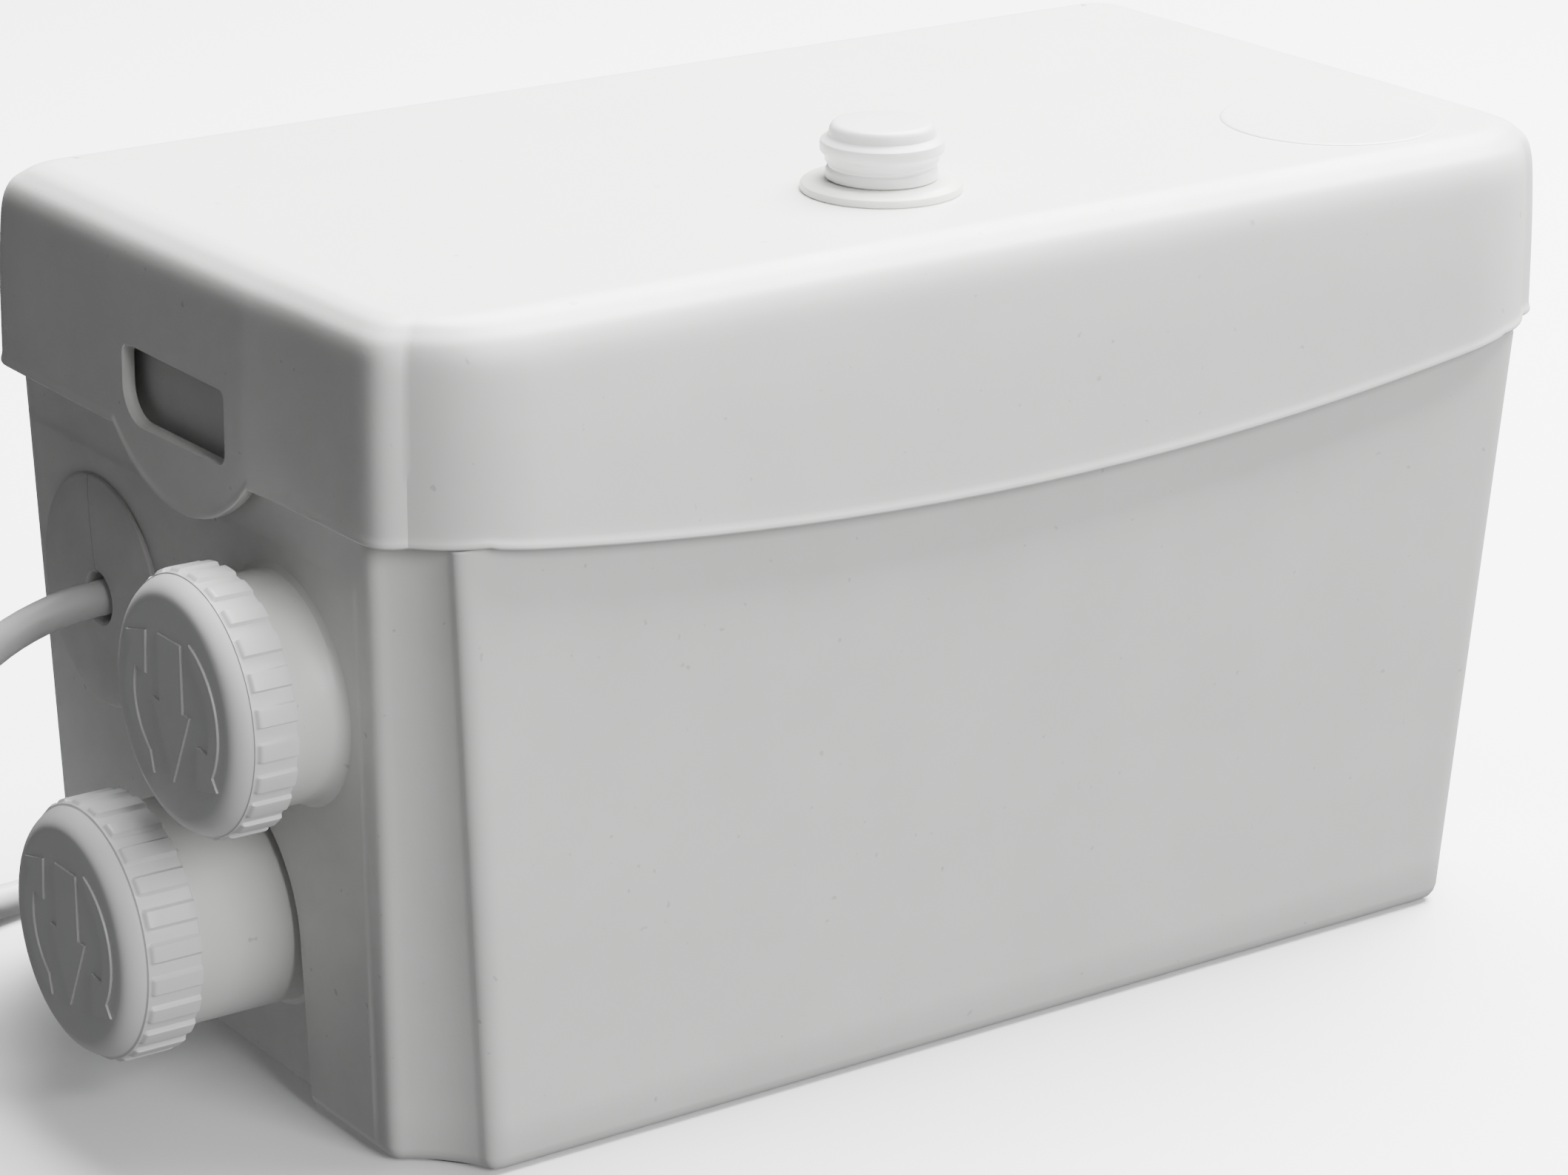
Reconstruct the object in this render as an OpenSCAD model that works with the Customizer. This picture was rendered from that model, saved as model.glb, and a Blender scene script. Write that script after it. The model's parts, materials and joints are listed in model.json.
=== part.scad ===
// Macerator pump: a boxed waste-water lifting pump with two capped side inlets.
// X is the width (left side at -X), Y the depth (front at -Y), Z is up, origin on
// the floor under the middle of the tank. Millimetres.

/* [Tank] */
// Half width of the tank at the floor
tank_hx0 = 139.2; // [138.8:0.1:139.6]
// Half width of the tank just under the lid
tank_hx1 = 145.3; // [145.1:0.1:145.4]
// Front face of the tank at the floor, distance from the middle
tank_yf0 = 75.0; // [74.5:0.1:75.5]
// Front face of the tank under the lid, distance from the middle
tank_yf1 = 80.6; // [80.5:0.1:80.8]
// Rear face of the tank, distance from the middle
tank_yr = 82.0; // [81.5:0.1:82.2]
// Thickness of the tank walls
wall = 3.0; // [2.6:0.1:3.2]
// Height of the tank rim
rim_z = 150; // [149.9:0.1:150.1]

/* [Lid] */
// Half width of the lid at its lower edge
lid_hx = 150.0; // [149.8:0.1:150.2]
// Half depth of the lid at its lower edge
lid_hy = 83.7; // [83.5:0.1:83.9]
// Height of the lid's straight lower edge
lid_edge_z = 134.4; // [134:0.1:135]
// Top of the lid
lid_top_z = 178; // [177.5:0.1:178.5]
// Thickness of the lid walls
lid_wall = 2.4; // [2.2:0.1:2.5]
// Radius of the arc along the lid's front lower edge
front_arc_r = 830; // [800:10:900]
// Lowest point of the front arc
front_arc_z = 124.2; // [124:0.1:125]
// Radius of the lid's front corners, seen from above
lid_corner_r = 24; // [22:1:26]
// Radius of the round grip tab on each side of the lid
tab_r = 36; // [34:1:37]

/* [Inlets] */
// Outer radius of the inlet necks
neck_r = 23.45; // [23:0.05:23.6]
// Bore radius of the inlet necks
neck_bore_r = 20.0; // [19:0.5:20.2]
// Upper inlet, distance in front of the middle
up_y = -30.6; // [-31:0.1:-30]
// Upper inlet, height of its axis
up_z = 94.7; // [94:0.1:95.5]
// Rear rim of the upper cap
up_rim_x = -156.2; // [-156.5:0.1:-155.5]
// Length of the upper cap
up_cap_t = 13.2; // [13:0.1:15.4]
// Lower inlet, distance in front of the middle
lo_y = -1.7; // [-2:0.1:-1]
// Lower inlet, height of its axis
lo_z = 39.2; // [38.8:0.1:39.6]
// Rear rim of the lower cap
lo_rim_x = -163.3; // [-163.8:0.1:-163]
// Length of the lower cap
lo_cap_t = 16.3; // [16:0.1:19.2]
// Outer radius of the caps between the grip ribs
cap_r = 26.5; // [26.2:0.05:26.6]
// Number of grip ribs round a cap
cap_ribs = 24; // [20:1:28]

/* [Discharge] */
// Depth position of the discharge line
dis_y = 30; // [29:0.5:31]
// Height of the discharge through the side wall
dis_z = 106; // [105.5:0.5:106.5]
// Bore radius of the elbow's open end, for a 32 mm pipe
dis_bore_r = 16; // [15.8:0.1:16.2]

/* [Pump] */
// Position of the motor axis along the width
mot_x = 50; // [49:0.5:50.5]
// Radius of the motor shaft
shaft_r = 5; // [4.8:0.1:5]
// Number of impeller vanes
vanes = 5; // [4:1:7]
// Number of slots in the grinder basket
basket_slots = 16; // [12:1:20]

/* [Vent] */
// Position of the vent along the width
vent_x = -9; // [-10:0.5:-8]
// Position of the vent along the depth
vent_y = -42; // [-43:0.5:-41]

/* [Mains lead] */
// Diameter of the mains lead
cord_d = 7.5; // [7:0.1:7.6]
// Radius of the middle of the coil's turns
coil_r = 43.8; // [43.5:0.1:44]

/* [Hidden] */

e = 0.01;
white = [0.93, 0.93, 0.92];
shade = [0.86, 0.86, 0.85];
grey = [0.55, 0.56, 0.57];
dark = [0.18, 0.18, 0.19];
steel = [0.72, 0.73, 0.74];
brass = [0.80, 0.66, 0.32];
copper = [0.72, 0.42, 0.22];

cap_in_r = neck_r + 0.35;
cap_front = 2.5;
seal_t = 2.0;
up_face_x = up_rim_x - up_cap_t;
lo_face_x = lo_rim_x - lo_cap_t;
up_neck_end = up_face_x + cap_front + seal_t;
lo_neck_end = lo_face_x + cap_front + seal_t;
side_slope = (tank_hx1 - tank_hx0) / 131;
deck_z = 141.5;
deck_t = 3;
gland_y = 42.5;
gland_z = 92;
disc_y = 45;
disc_z = 92.6;
disc_x = -145;
arch_r = 25.8;
arch_y = lo_y + 1.3;

// axis-aligned cylinders by start point and length
module xcyl(x, y, z, r, l) translate([x, y, z]) rotate([0, 90, 0]) cylinder(r = r, h = l, $fn = 96);
module ycyl(x, y, z, r, l) translate([x, y, z]) rotate([-90, 0, 0]) cylinder(r = r, h = l, $fn = 96);
module zcyl(x, y, z, r, l) translate([x, y, z]) cylinder(r = r, h = l, $fn = 96);
// tube along X
module xtube(x, y, z, ro, ri, l) difference() { xcyl(x, y, z, ro, l); xcyl(x - 1, y, z, ri, l + 2); }
module ztube(x, y, z, ro, ri, l) difference() { zcyl(x, y, z, ro, l); zcyl(x, y, z - 1, ri, l + 2); }
// prism with four round corners, from x0..x1, y0..y1, rf at the front two
module rprism(x0, x1, y0, y1, r, z, h, rf = 0) {
  f = rf > 0 ? rf : r;
  translate([0, 0, z]) linear_extrude(h) {
    translate([x0 + f, y0]) square([x1 - x0 - 2 * f, f + 1]);
    translate([x0, y0 + f]) square([x1 - x0, y1 - y0 - f - r]);
    translate([x0 + r, y1 - r - 1]) square([x1 - x0 - 2 * r, r + 1]);
    for (x = [x0 + f, x1 - f]) translate([x, y0 + f]) circle(f, $fn = rf > 0 ? 64 : 48);
    for (x = [x0 + r, x1 - r]) translate([x, y1 - r]) circle(r, $fn = 48);
  }
}
// four round corner posts of a thin layer, rf at the front two
module layer(hx, yf, yr, r, z, rf = 0) {
  f = rf > 0 ? rf : r;
  for (sx = [-1, 1]) {
    translate([sx * (hx - f), -yf + f, z]) cylinder(r = f, h = e, $fn = rf > 0 ? 64 : 32);
    translate([sx * (hx - r), yr - r, z]) cylinder(r = r, h = e, $fn = 32);
  }
}

// ---------- outer box ----------
module tank_solid(t)
  hull() {
    layer(tank_hx0 - 2.6 - t, tank_yf0 - 2.6 - t, tank_yr - 2.6 - t, 6, t);
    layer(tank_hx0 - 0.6 - t, tank_yf0 - 0.6 - t, tank_yr - 0.6 - t, 6.5, 1.4 + t);
    layer(tank_hx0 + 0.2 - t, tank_yf0 + 0.2 - t, tank_yr - t, 7, 4 + t);
    layer(tank_hx1 - t, tank_yf1 - t, tank_yr - t, 8, 131);
  }
// arch-shaped pocket round the lower neck, open at the floor
module pocket(grow, x1) {
  xcyl(-160, arch_y, lo_z, arch_r + grow, 160 + x1);
  translate([-160, arch_y - arch_r - grow, -5]) cube([160 + x1, 2 * (arch_r + grow), lo_z + 5]);
}
// long shallow flute down a front corner: a leaning cylinder
module corner_cut(s, grow)
  translate([s * 159.0, -91.5, 0]) rotate([4.2, s * 2.0, 0]) translate([0, 0, -8]) cylinder(r = 38 - grow, h = 138, $fn = 128);

module tank() color(white) {
  difference() {
    union() {
      difference() {
        tank_solid(0);
        difference() {
          tank_solid(wall);
          pocket(wall, -130.5);
          for (s = [-1, 1]) corner_cut(s, -wall);
        }
        translate([-200, -100, 130.9]) cube([400, 200, 10]);
        pocket(0, -133.5);
        for (s = [-1, 1]) corner_cut(s, 0);
      }
      // rim that the lid slips over, with the step that carries the inner cover
      difference() {
        rprism(-144.9, 144.9, -80.2, 80.2, 7.6, 126, rim_z - 126, 20.5);
        rprism(-141.9, 141.9, -77.2, 77.9, 4.6, 140, 20, 17.5);
        rprism(-134.5, 134.5, -69.8, 70.5, 4, 120, 30);
        // slope under the step
        translate([0, 0, 0]) for (s = [-1, 1]) corner_cut(s, -wall);
      }
      // round seat of the cable disc
      xcyl(disc_x, disc_y, disc_z, 24.6, 5);
      // inlet necks
      xcyl(up_neck_end, up_y, up_z, neck_r, -140.5 - up_neck_end);
      xcyl(lo_neck_end, lo_y, lo_z, neck_r, -130.6 - lo_neck_end);
      // low thread crests on the neck ends
      for (k = [0:1]) xcyl(up_neck_end + 2.2 + 4.5 * k, up_y, up_z, neck_r + 0.2, 1.6);
      for (k = [0:2]) xcyl(lo_neck_end + 2.2 + 4.5 * k, lo_y, lo_z, neck_r + 0.2, 1.6);
      // flat inner seat of the upper flap ring
      xcyl(-141.5, up_y, up_z, 23.4, 2.1);
      // seat of the discharge fitting on the right wall
      xcyl(139.5, dis_y, dis_z, 25, 5.1);
    }
    xcyl(up_neck_end - 1, up_y, up_z, neck_bore_r, 60);
    xcyl(lo_neck_end - 1, lo_y, lo_z, neck_bore_r, 60);
    xcyl(-150, gland_y, gland_z, 8.7, 20);
    xcyl(130, dis_y, dis_z, 17.2, 20);
    xcyl(144.6, dis_y, dis_z, 22.4, 5);
    // screw holes for the inner cover
    for (p = cover_screw_at) zcyl(p[0], p[1], 120, 1.8, 30);
  }
}

// positions of the inner cover's screws
cover_screw_at = [for (x = [-138.2, 138.2], y = [-55, 50]) [x, y], for (x = [-85, 0, 85], y = [-73.5, 74.2]) [x, y]];

module lid_solid(t) {
  c = lid_corner_r - t;
  hull() {
    layer(lid_hx + 0.2 - t, lid_hy + 0.2 - t, lid_hy + 0.2 - t, 11, 118, c);
    layer(lid_hx - 0.45 - t, lid_hy - 0.5 - t, lid_hy - 1.1 - t, 11, 166 - t, c);
    layer(lid_hx - 1.5 - t, lid_hy - 1.6 - t, lid_hy - 2.6 - t, 11, 171.5 - t, c);
    layer(lid_hx - 4.4 - t, lid_hy - 4.5 - t, lid_hy - 5.6 - t, 11, 175.6 - t, c - 2);
    layer(lid_hx - 7.6 - t, lid_hy - 7.7 - t, lid_hy - 8.8 - t, 10, 177.4 - t, c - 5);
    layer(lid_hx - 11.5 - t, lid_hy - 11.6 - t, lid_hy - 12.7 - t, 9, lid_top_z - t - e, c - 8);
  }
}
module lid_keep() {
  translate([-200, -100, lid_edge_z]) cube([400, 200, 60]);
  intersection() {
    translate([-128, -100, 110]) cube([256, 28, 60]);
    ycyl(0, -110, front_arc_z + front_arc_r, front_arc_r, 60);
  }
  for (x = [-170, 140]) xcyl(x, 0.5, 158.5, tab_r, 30);
}
module slot_window(x) {
  translate([x, 0, 0]) rotate([90, 0, 90]) linear_extrude(20) {
    translate([-17.6, 138.6]) square([34.2, 13.5]);
    translate([-15.8, 137]) square([30, 15.1]);
    translate([-17.6, 144]) square([39.8, 8.1]);
    translate([15.2, 144]) circle(7, $fn = 48);
    translate([-15.6, 139]) circle(2, $fn = 32);
  }
}
module lid() color(white) {
  difference() {
    intersection() {
      union() {
        difference() { lid_solid(0); lid_solid(lid_wall); }
        // locating rib on the seal
        difference() {
          rprism(-144.6, 144.6, -79.9, 80.6, 7.3, 152, 24, 20.2);
          rprism(-142.4, 142.4, -77.7, 78.4, 5.1, 151, 26, 18);
        }
      }
      lid_keep();
      lid_solid(0);
    }
    slot_window(-165);
    slot_window(145.5);
    zcyl(vent_x, vent_y, 170, 12.2, 12);
  }
}
module lid_gasket() color(grey)
  difference() {
    rprism(-144.4, 144.4, -79.7, 79.8, 7.1, rim_z, 2, 20);
    rprism(-142.2, 142.2, -77.5, 78.2, 4.9, rim_z - 1, 4, 17.8);
  }

module vent_collar() color([0.9, 0.9, 0.87]) {
  difference() {
    union() {
      zcyl(vent_x, vent_y, lid_top_z, 16.7, 1.6);
      translate([vent_x, vent_y, lid_top_z + 1.6]) cylinder(r1 = 16.2, r2 = 14.6, h = 0.9, $fn = 96);
      zcyl(vent_x, vent_y, 170.5, 12.1, 8);
    }
    zcyl(vent_x, vent_y, 165, 9.6, 25);
  }
}
module vent_plug() color(white)
  translate([vent_x, vent_y, 0]) rotate_extrude($fn = 96)
    polygon([[0, 173], [8.6, 173], [9.5, 174.5], [9.5, 180.55], [11.6, 180.55], [11.6, 182.6], [11.1, 183], [11.1, 183.6],
      [11.7, 184], [11.7, 185.2], [12.3, 185.8], [12.8, 186.4], [12.8, 188.2], [12.2, 188.8], [11.2, 189.3], [10.9, 190.8], [10.2, 191.8], [9.4, 192.1], [0, 192.1]]);
module carbon_filter() color(dark)
  difference() {
    translate([vent_x, vent_y, 0]) rotate_extrude($fn = 96)
      polygon([[12.4, 166], [19, 166], [19, 175.5], [12.4, 175.5]]);
    for (a = [0:30:330]) translate([vent_x, vent_y, 0]) rotate([0, 0, a]) translate([15.7, 0, 164]) cylinder(r = 1.3, h = 13, $fn = 24);
  }

// ---------- screw caps and inlet flaps ----------
module cap_shape(y, z, rim, t, rib_l, round_l) {
  translate([rim, y, z]) rotate([0, -90, 0]) difference() {
    union() {
      rotate_extrude($fn = 96)
        polygon(concat([[0, 0], [cap_r, 0], [cap_r, t - round_l]],
          [for (a = [15:15:90]) [cap_r - 4.9 * (1 - cos(a)), t - round_l * (1 - sin(a))]],
          [[0, t]]));
      for (k = [0:cap_ribs - 1]) rotate([0, 0, (k + 0.25) * 360 / cap_ribs])
        translate([cap_r - 1, -1.8, 0]) cube([1.8, 3.6, rib_l]);
    }
    translate([0, 0, -1]) cylinder(r = cap_in_r, h = t - cap_front + 1, $fn = 96);
  }
}
module cap_seal(y, z, face) xtube(face + cap_front, y, z, neck_r - 0.1, 17, seal_t);
module upper_cap() color(white) cap_shape(up_y, up_z, up_rim_x, up_cap_t, 8.8, 5.4);
module lower_cap() color(white) cap_shape(lo_y, lo_z, lo_rim_x, lo_cap_t, 11.4, 6.8);
module upper_cap_seal() color(dark) cap_seal(up_y, up_z, up_face_x);
module lower_cap_seal() color(dark) cap_seal(lo_y, lo_z, lo_face_x);

// ring with two ears that carries a hanging flap inside a port, seat face at x + 3
module flap_seat(x, y, z)
  difference() {
    union() {
      xcyl(x, y, z, 22.6, 3);
      xcyl(x - 4, y, z, 19.8, 4.5);
      for (s = [-1, 1]) translate([x, y + s * 10 - 1.5, z + 17]) {
        cube([3, 3, 10.5]);
        translate([2.9, 0, 3.3]) cube([7.1, 3, 7.2]);
      }
    }
    xcyl(x - 5, y, z, 17, 10);
    ycyl(x + 6.5, y - 15, z + 23.5, 1.5, 30);
  }
module flap_disc(x, y, z)
  difference() {
    union() {
      xcyl(x + 3.2, y, z, 20.6, 2.2);
      translate([x + 3.2, y - 8, z + 14]) cube([2.2, 16, 9.5]);
      ycyl(x + 6.5, y - 8, z + 23.5, 3.3, 16);
      xcyl(x + 5.2, y, z - 2, 13, 1.4);
    }
    ycyl(x + 6.5, y - 15, z + 23.5, 1.56, 30);
  }
module flap_pin(x, y, z) ycyl(x + 6.5, y - 12.5, z + 23.5, 1.5, 25);
up_in = -139.6;
lo_in = -130.7;
module upper_flap_seat() color(grey) flap_seat(up_in + 0.2, up_y, up_z);
module upper_flap() color(dark) flap_disc(up_in + 0.2, up_y, up_z);
module upper_flap_pin() color(steel) flap_pin(up_in + 0.2, up_y, up_z);
module lower_flap_seat() color(grey) flap_seat(lo_in + 0.2, lo_y, lo_z);
module lower_flap() color(dark) flap_disc(lo_in + 0.2, lo_y, lo_z);
module lower_flap_pin() color(steel) flap_pin(lo_in + 0.2, lo_y, lo_z);

// ---------- cable entry and wiring ----------
module cable_grommet() color([0.88, 0.88, 0.87])
  difference() {
    union() {
      translate([disc_x, disc_y, disc_z]) rotate([0, -90, 0]) rotate_extrude($fn = 96)
        polygon([[0, 0], [25, 0], [25, 1.0], [23.4, 2.0], [16, 2.7], [8, 3.0], [0, 3.1]]);
      xcyl(disc_x - 0.1, gland_y, gland_z, 8.5, 14.3);
      xcyl(-130.9, gland_y, gland_z, 10, 2.5);
    }
    xcyl(-160, gland_y, gland_z, 5.6, 40);
    // slit from the hole to the edge
    translate([-149, gland_y + 2, gland_z]) rotate([-14, 0, 0]) translate([0, -0.3, 3]) cube([3.9, 0.6, 30]);
  }
// open-topped dry box behind the cable entry
module cable_box() color(shade)
  difference() {
    union() {
      translate([-133.6, 22.3, 57]) cube([46, 32.2, deck_z - 57]);
      translate([-133.6, 17.3, deck_z - 8]) cube([49, 37.2, 8]);
    }
    translate([-131, 24.9, 59.6]) cube([40.8, 27.8, 100]);
    xcyl(-140, gland_y, gland_z, 8.6, 12);
  }
module cord_clamp() color(grey)
  difference() {
    union() {
      translate([-118, 24.9, 112]) cube([14, 27.8, 8]);
      for (y = [30.5, 46.5]) zcyl(-111, y, 120, 2.6, 2);
    }
    zcyl(-111, 38.5, 110, 3.85, 12);
  }

// ---- swept tube through hand-set points (Catmull-Rom) ----
function cr(p0, p1, p2, p3, t) = 0.5 * (2 * p1 + (p2 - p0) * t + (2 * p0 - 5 * p1 + 4 * p2 - p3) * t * t + (3 * p1 - p0 - 3 * p2 + p3) * t * t * t);
function at(P, i) = P[max(0, min(len(P) - 1, i))];
function smooth(P, n) = concat([for (i = [0:len(P) - 2], k = [0:n - 1]) cr(i == 0 ? 2 * P[0] - P[1] : at(P, i - 1), P[i], P[i + 1], i == len(P) - 2 ? 2 * P[len(P) - 1] - P[len(P) - 2] : at(P, i + 2), k / n)], [P[len(P) - 1]]);
function unit(v) = v / norm(v);
function tangent(Q, i) = unit(at(Q, i + 1) - at(Q, i - 1));
module sweep(P, r, ref, n = 2, m = 10) {
  Q = smooth(P, n);
  L = len(Q);
  V = [for (i = [0:L - 1]) let (t = tangent(Q, i), u = unit(cross(ref, t)), w = cross(t, u))
    for (k = [0:m - 1]) Q[i] + r * (cos(360 * k / m) * u + sin(360 * k / m) * w)];
  Fs = [for (i = [0:L - 2], k = [0:m - 1]) let (a = i * m + k, b = i * m + (k + 1) % m) [a, a + m, b + m, b]];
  polyhedron(V, concat([[for (k = [0:m - 1]) k]], Fs, [[for (k = [m - 1:-1:0]) (L - 1) * m + k]]), 10);
}
inner_route = [[-135, 42.5, 92], [-126, 42.5, 93], [-118, 41.8, 97.5], [-112.5, 39.8, 105], [-111, 38.5, 113], [-111, 38.5, 125], [-110, 37, 138], [-105, 32, 149], [-97, 27.5, 153], [-91, 25, 153.5], [-88, 21.9, 153.5]];
module inner_cord() color(white) sweep(inner_route, 3.6, [0.3, 0.95, 0.1], 2, 8);
module terminal_block() color(shade)
  difference() {
    translate([-97, -22, deck_z + deck_t]) cube([26, 42, 15]);
    for (k = [0:3]) {
      zcyl(-84, -16 + 10 * k, deck_z + deck_t + 8, 3, 9);
      translate([-98, -18.5 + 10 * k, deck_z + deck_t + 3]) cube([7, 5, 5]);
    }
  }
module capacitor() color([0.85, 0.85, 0.83])
  union() {
    ycyl(-118, -66, deck_z + deck_t + 14.2, 13.5, 56);
    ycyl(-118, -10.2, deck_z + deck_t + 14.2, 11, 3);
    for (z = [-4, 4]) translate([-118.4, -8, deck_z + deck_t + 13.8 + z]) cube([0.8, 7, 3.2]);
  }
lead_route = [[-70.7, 2, 152], [-60, 2, 153.2], [-45, 4, 158.5], [-28, 6, 163], [-12, 5.6, 162.6], [-1, 4.4, 160.3], [7.6, 4.2, 160]];
module motor_lead() color(dark) sweep(lead_route, 2.6, [0, 1, 0], 2, 8);

// ---------- inner cover ----------
module inner_cover() color(shade)
  difference() {
    union() {
      rprism(-141.6, 141.6, -76.9, 77.6, 4.3, deck_z, deck_t, 17.2);
      // stiffening ring round the motor opening
      ztube(mot_x, 0, deck_z + deck_t, 62, 58.4, 2.5);
      // vent chimney up to the filter
      zcyl(vent_x, vent_y, deck_z, 12, 21);
      // cradles that hold the capacitor
      for (y = [-58, -26]) translate([-132.6, y, deck_z + deck_t - e]) cube([29.2, 7, 17]);
    }
    zcyl(mot_x, 0, deck_z - 5, 48.6, 20);
    zcyl(vent_x, vent_y, deck_z - 5, 9, 40);
    ycyl(-118, -70, deck_z + deck_t + 14.2, 13.6, 60);
    translate([-131, 24.9, deck_z - 5]) cube([40.8, 27.8, 20]);
    zcyl(-50, 46, deck_z - 5, 11.2, 20);
    for (p = cover_screw_at) zcyl(p[0], p[1], 130, 1.9, 30);
    for (a = [45:90:315]) translate([mot_x, 0, 0]) rotate([0, 0, a]) zcyl(53, 0, 130, 1.9, 30);
  }
module cover_seal() color(dark)
  difference() {
    rprism(-141.4, 141.4, -76.7, 77.4, 4.1, 140, 1.5, 17);
    rprism(-135, 135, -70.3, 71, 3.8, 139, 4);
    for (p = cover_screw_at) zcyl(p[0], p[1], 130, 1.9, 30);
  }
module screw(x, y, z, l, head_r = 3.4, r = 1.7)
  difference() {
    union() {
      zcyl(x, y, z, head_r, 2.4);
      zcyl(x, y, z - l, r, l + e);
    }
    for (a = [0, 90]) translate([x, y, z + 1.2]) rotate([0, 0, a]) translate([-2, -0.4, 0]) cube([4, 0.8, 2]);
  }
module cover_screws() color(steel) for (p = cover_screw_at) screw(p[0], p[1], deck_z + deck_t, 14);

// ---------- motor ----------
module motor_housing() color(grey)
  difference() {
    union() {
      zcyl(mot_x, 0, 68, 46, 77);
      zcyl(mot_x, 0, deck_z + deck_t, 57.8, 3);
      zcyl(mot_x, 0, 57, 24, 11.2);
      for (a = [0:20:340]) translate([mot_x, 0, 0]) rotate([0, 0, a]) translate([45.5, -1, 74]) cube([2.6, 2, 62]);
    }
    zcyl(mot_x, 0, 80, 42.6, 80);
    zcyl(mot_x, 0, 71.9, 13.05, 10);
    zcyl(mot_x, 0, 60, 8.05, 20);
    zcyl(mot_x, 0, 56, 14.1, 11);
    for (a = [45:90:315]) translate([mot_x, 0, 0]) rotate([0, 0, a]) zcyl(53, 0, 130, 1.9, 30);
  }
module motor_cap() color(grey)
  difference() {
    union() {
      zcyl(mot_x, 0, deck_z + deck_t + 3, 48, 6);
      zcyl(mot_x, 0, 153.4, 44, 12);
      translate([mot_x, 0, 165.4]) cylinder(r1 = 44, r2 = 38, h = 4, $fn = 96);
      for (a = [0:30:330]) translate([mot_x, 0, 0]) rotate([0, 0, a]) translate([43.5, -1, 153.4]) cube([3.5, 2, 10]);
    }
    difference() {
      zcyl(mot_x, 0, 140, 40, 26);
      zcyl(mot_x, 0, 140.1, 16.5, 30);
    }
    zcyl(mot_x, 0, 140, 13.05, 14.1);
    zcyl(mot_x, 0, 140, 8, 20);
    // lead entry
    xcyl(mot_x - 50, 4.2, 160, 3, 20);
  }
module motor_screws() color(steel)
  for (a = [45:90:315]) translate([mot_x, 0, 0]) rotate([0, 0, a]) screw(53, 0, deck_z + deck_t + 3, 5.8);
module stator_core() color([0.45, 0.45, 0.47])
  translate([mot_x, 0, 88]) difference() {
    cylinder(r = 42.5, h = 36, $fn = 96);
    translate([0, 0, -1]) cylinder(r = 23.4, h = 40, $fn = 96);
    for (k = [0:11]) rotate([0, 0, k * 30]) translate([25.2, -2.6, -1]) cube([9, 5.2, 40]);
  }
module stator_windings() color(copper)
  translate([mot_x, 0, 0]) {
    for (z = [80.6, 124.4]) translate([0, 0, z]) rotate_extrude($fn = 96)
      polygon([[25.6, 0], [27, -0.4 + 0.4], [34, 0], [36.4, 1.6], [36.4, 5.4], [34, 7], [27, 7], [25.6, 5.6]]);
    for (k = [0:11]) rotate([0, 0, k * 30]) translate([27, -2.4, 87]) cube([7, 4.8, 38]);
  }
module rotor() color([0.6, 0.6, 0.62])
  translate([mot_x, 0, 0]) difference() {
    union() {
      translate([0, 0, 88]) cylinder(r = 22.8, h = 36, $fn = 96);
      for (z = [84.5, 124]) translate([0, 0, z]) cylinder(r = 21, h = 3.5, $fn = 96);
    }
    translate([0, 0, 80]) cylinder(r = shaft_r + 1.02, h = 50, $fn = 96);
  }
module motor_shaft() color(steel)
  translate([mot_x, 0, 0]) rotate_extrude($fn = 96)
    polygon([[0, 15], [3, 15], [3, 38.3], [shaft_r - 1, 38.3], [shaft_r - 1, 48.4], [shaft_r, 48.4], [shaft_r, 84.3], [shaft_r + 1, 84.3], [shaft_r + 1, 127.7], [shaft_r, 127.7], [shaft_r, 154], [0, 154]]);
module bearing(z)
  translate([mot_x, 0, z]) difference() {
    cylinder(r = 13, h = 8, $fn = 96);
    translate([0, 0, -1]) cylinder(r = shaft_r + 0.04, h = 10, $fn = 96);
    for (q = [-0.6, 7.2]) translate([0, 0, q]) difference() { cylinder(r = 10.6, h = 1.4, $fn = 96); translate([0, 0, -1]) cylinder(r = 7.6, h = 4, $fn = 96); }
  }
module lower_bearing() color(steel) bearing(71.9);
module upper_bearing() color(steel) bearing(146);
module shaft_seal() color(dark)
  translate([mot_x, 0, 60.4]) difference() {
    cylinder(r = 14, h = 6.4, $fn = 96);
    translate([0, 0, -1]) cylinder(r = shaft_r + 0.05, h = 10, $fn = 96);
    translate([0, 0, -1]) difference() { cylinder(r = 11, h = 4, $fn = 96); translate([0, 0, -1]) cylinder(r = 7, h = 6, $fn = 96); }
  }

// ---------- wet end ----------
module pump_casing() color(grey)
  difference() {
    union() {
      zcyl(mot_x, 0, 35, 43, 25);
      zcyl(mot_x, 0, 59.9, 32, 8.1);
      xcyl(mot_x + 12, dis_y, 47, 11.9, 34);
      for (a = [90:120:330]) translate([mot_x, 0, 0]) rotate([0, 0, a]) zcyl(43, 0, 35.3, 4.5, 9.7);
    }
    zcyl(mot_x, 0, 34, 39.5, 23);
    zcyl(mot_x, 0, 50, 24.1, 20);
    xcyl(mot_x + 10, dis_y, 47, 9.2, 50);
    for (a = [90:120:330]) translate([mot_x, 0, 0]) rotate([0, 0, a]) zcyl(43.6, 0, 30, 1.6, 12);
  }
module suction_plate() color(shade)
  difference() {
    union() {
      zcyl(mot_x, 0, 32, 43, 2.9);
      for (a = [90:120:330]) translate([mot_x, 0, 0]) rotate([0, 0, a]) zcyl(43, 0, 32, 4.5, 2.9);
      ztube(mot_x, 0, 34, 38.9, 36.8, 3);
    }
    zcyl(mot_x, 0, 30, 15, 8);
    for (a = [90:120:330]) translate([mot_x, 0, 0]) rotate([0, 0, a]) zcyl(43.6, 0, 30, 1.6, 12);
  }
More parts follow.
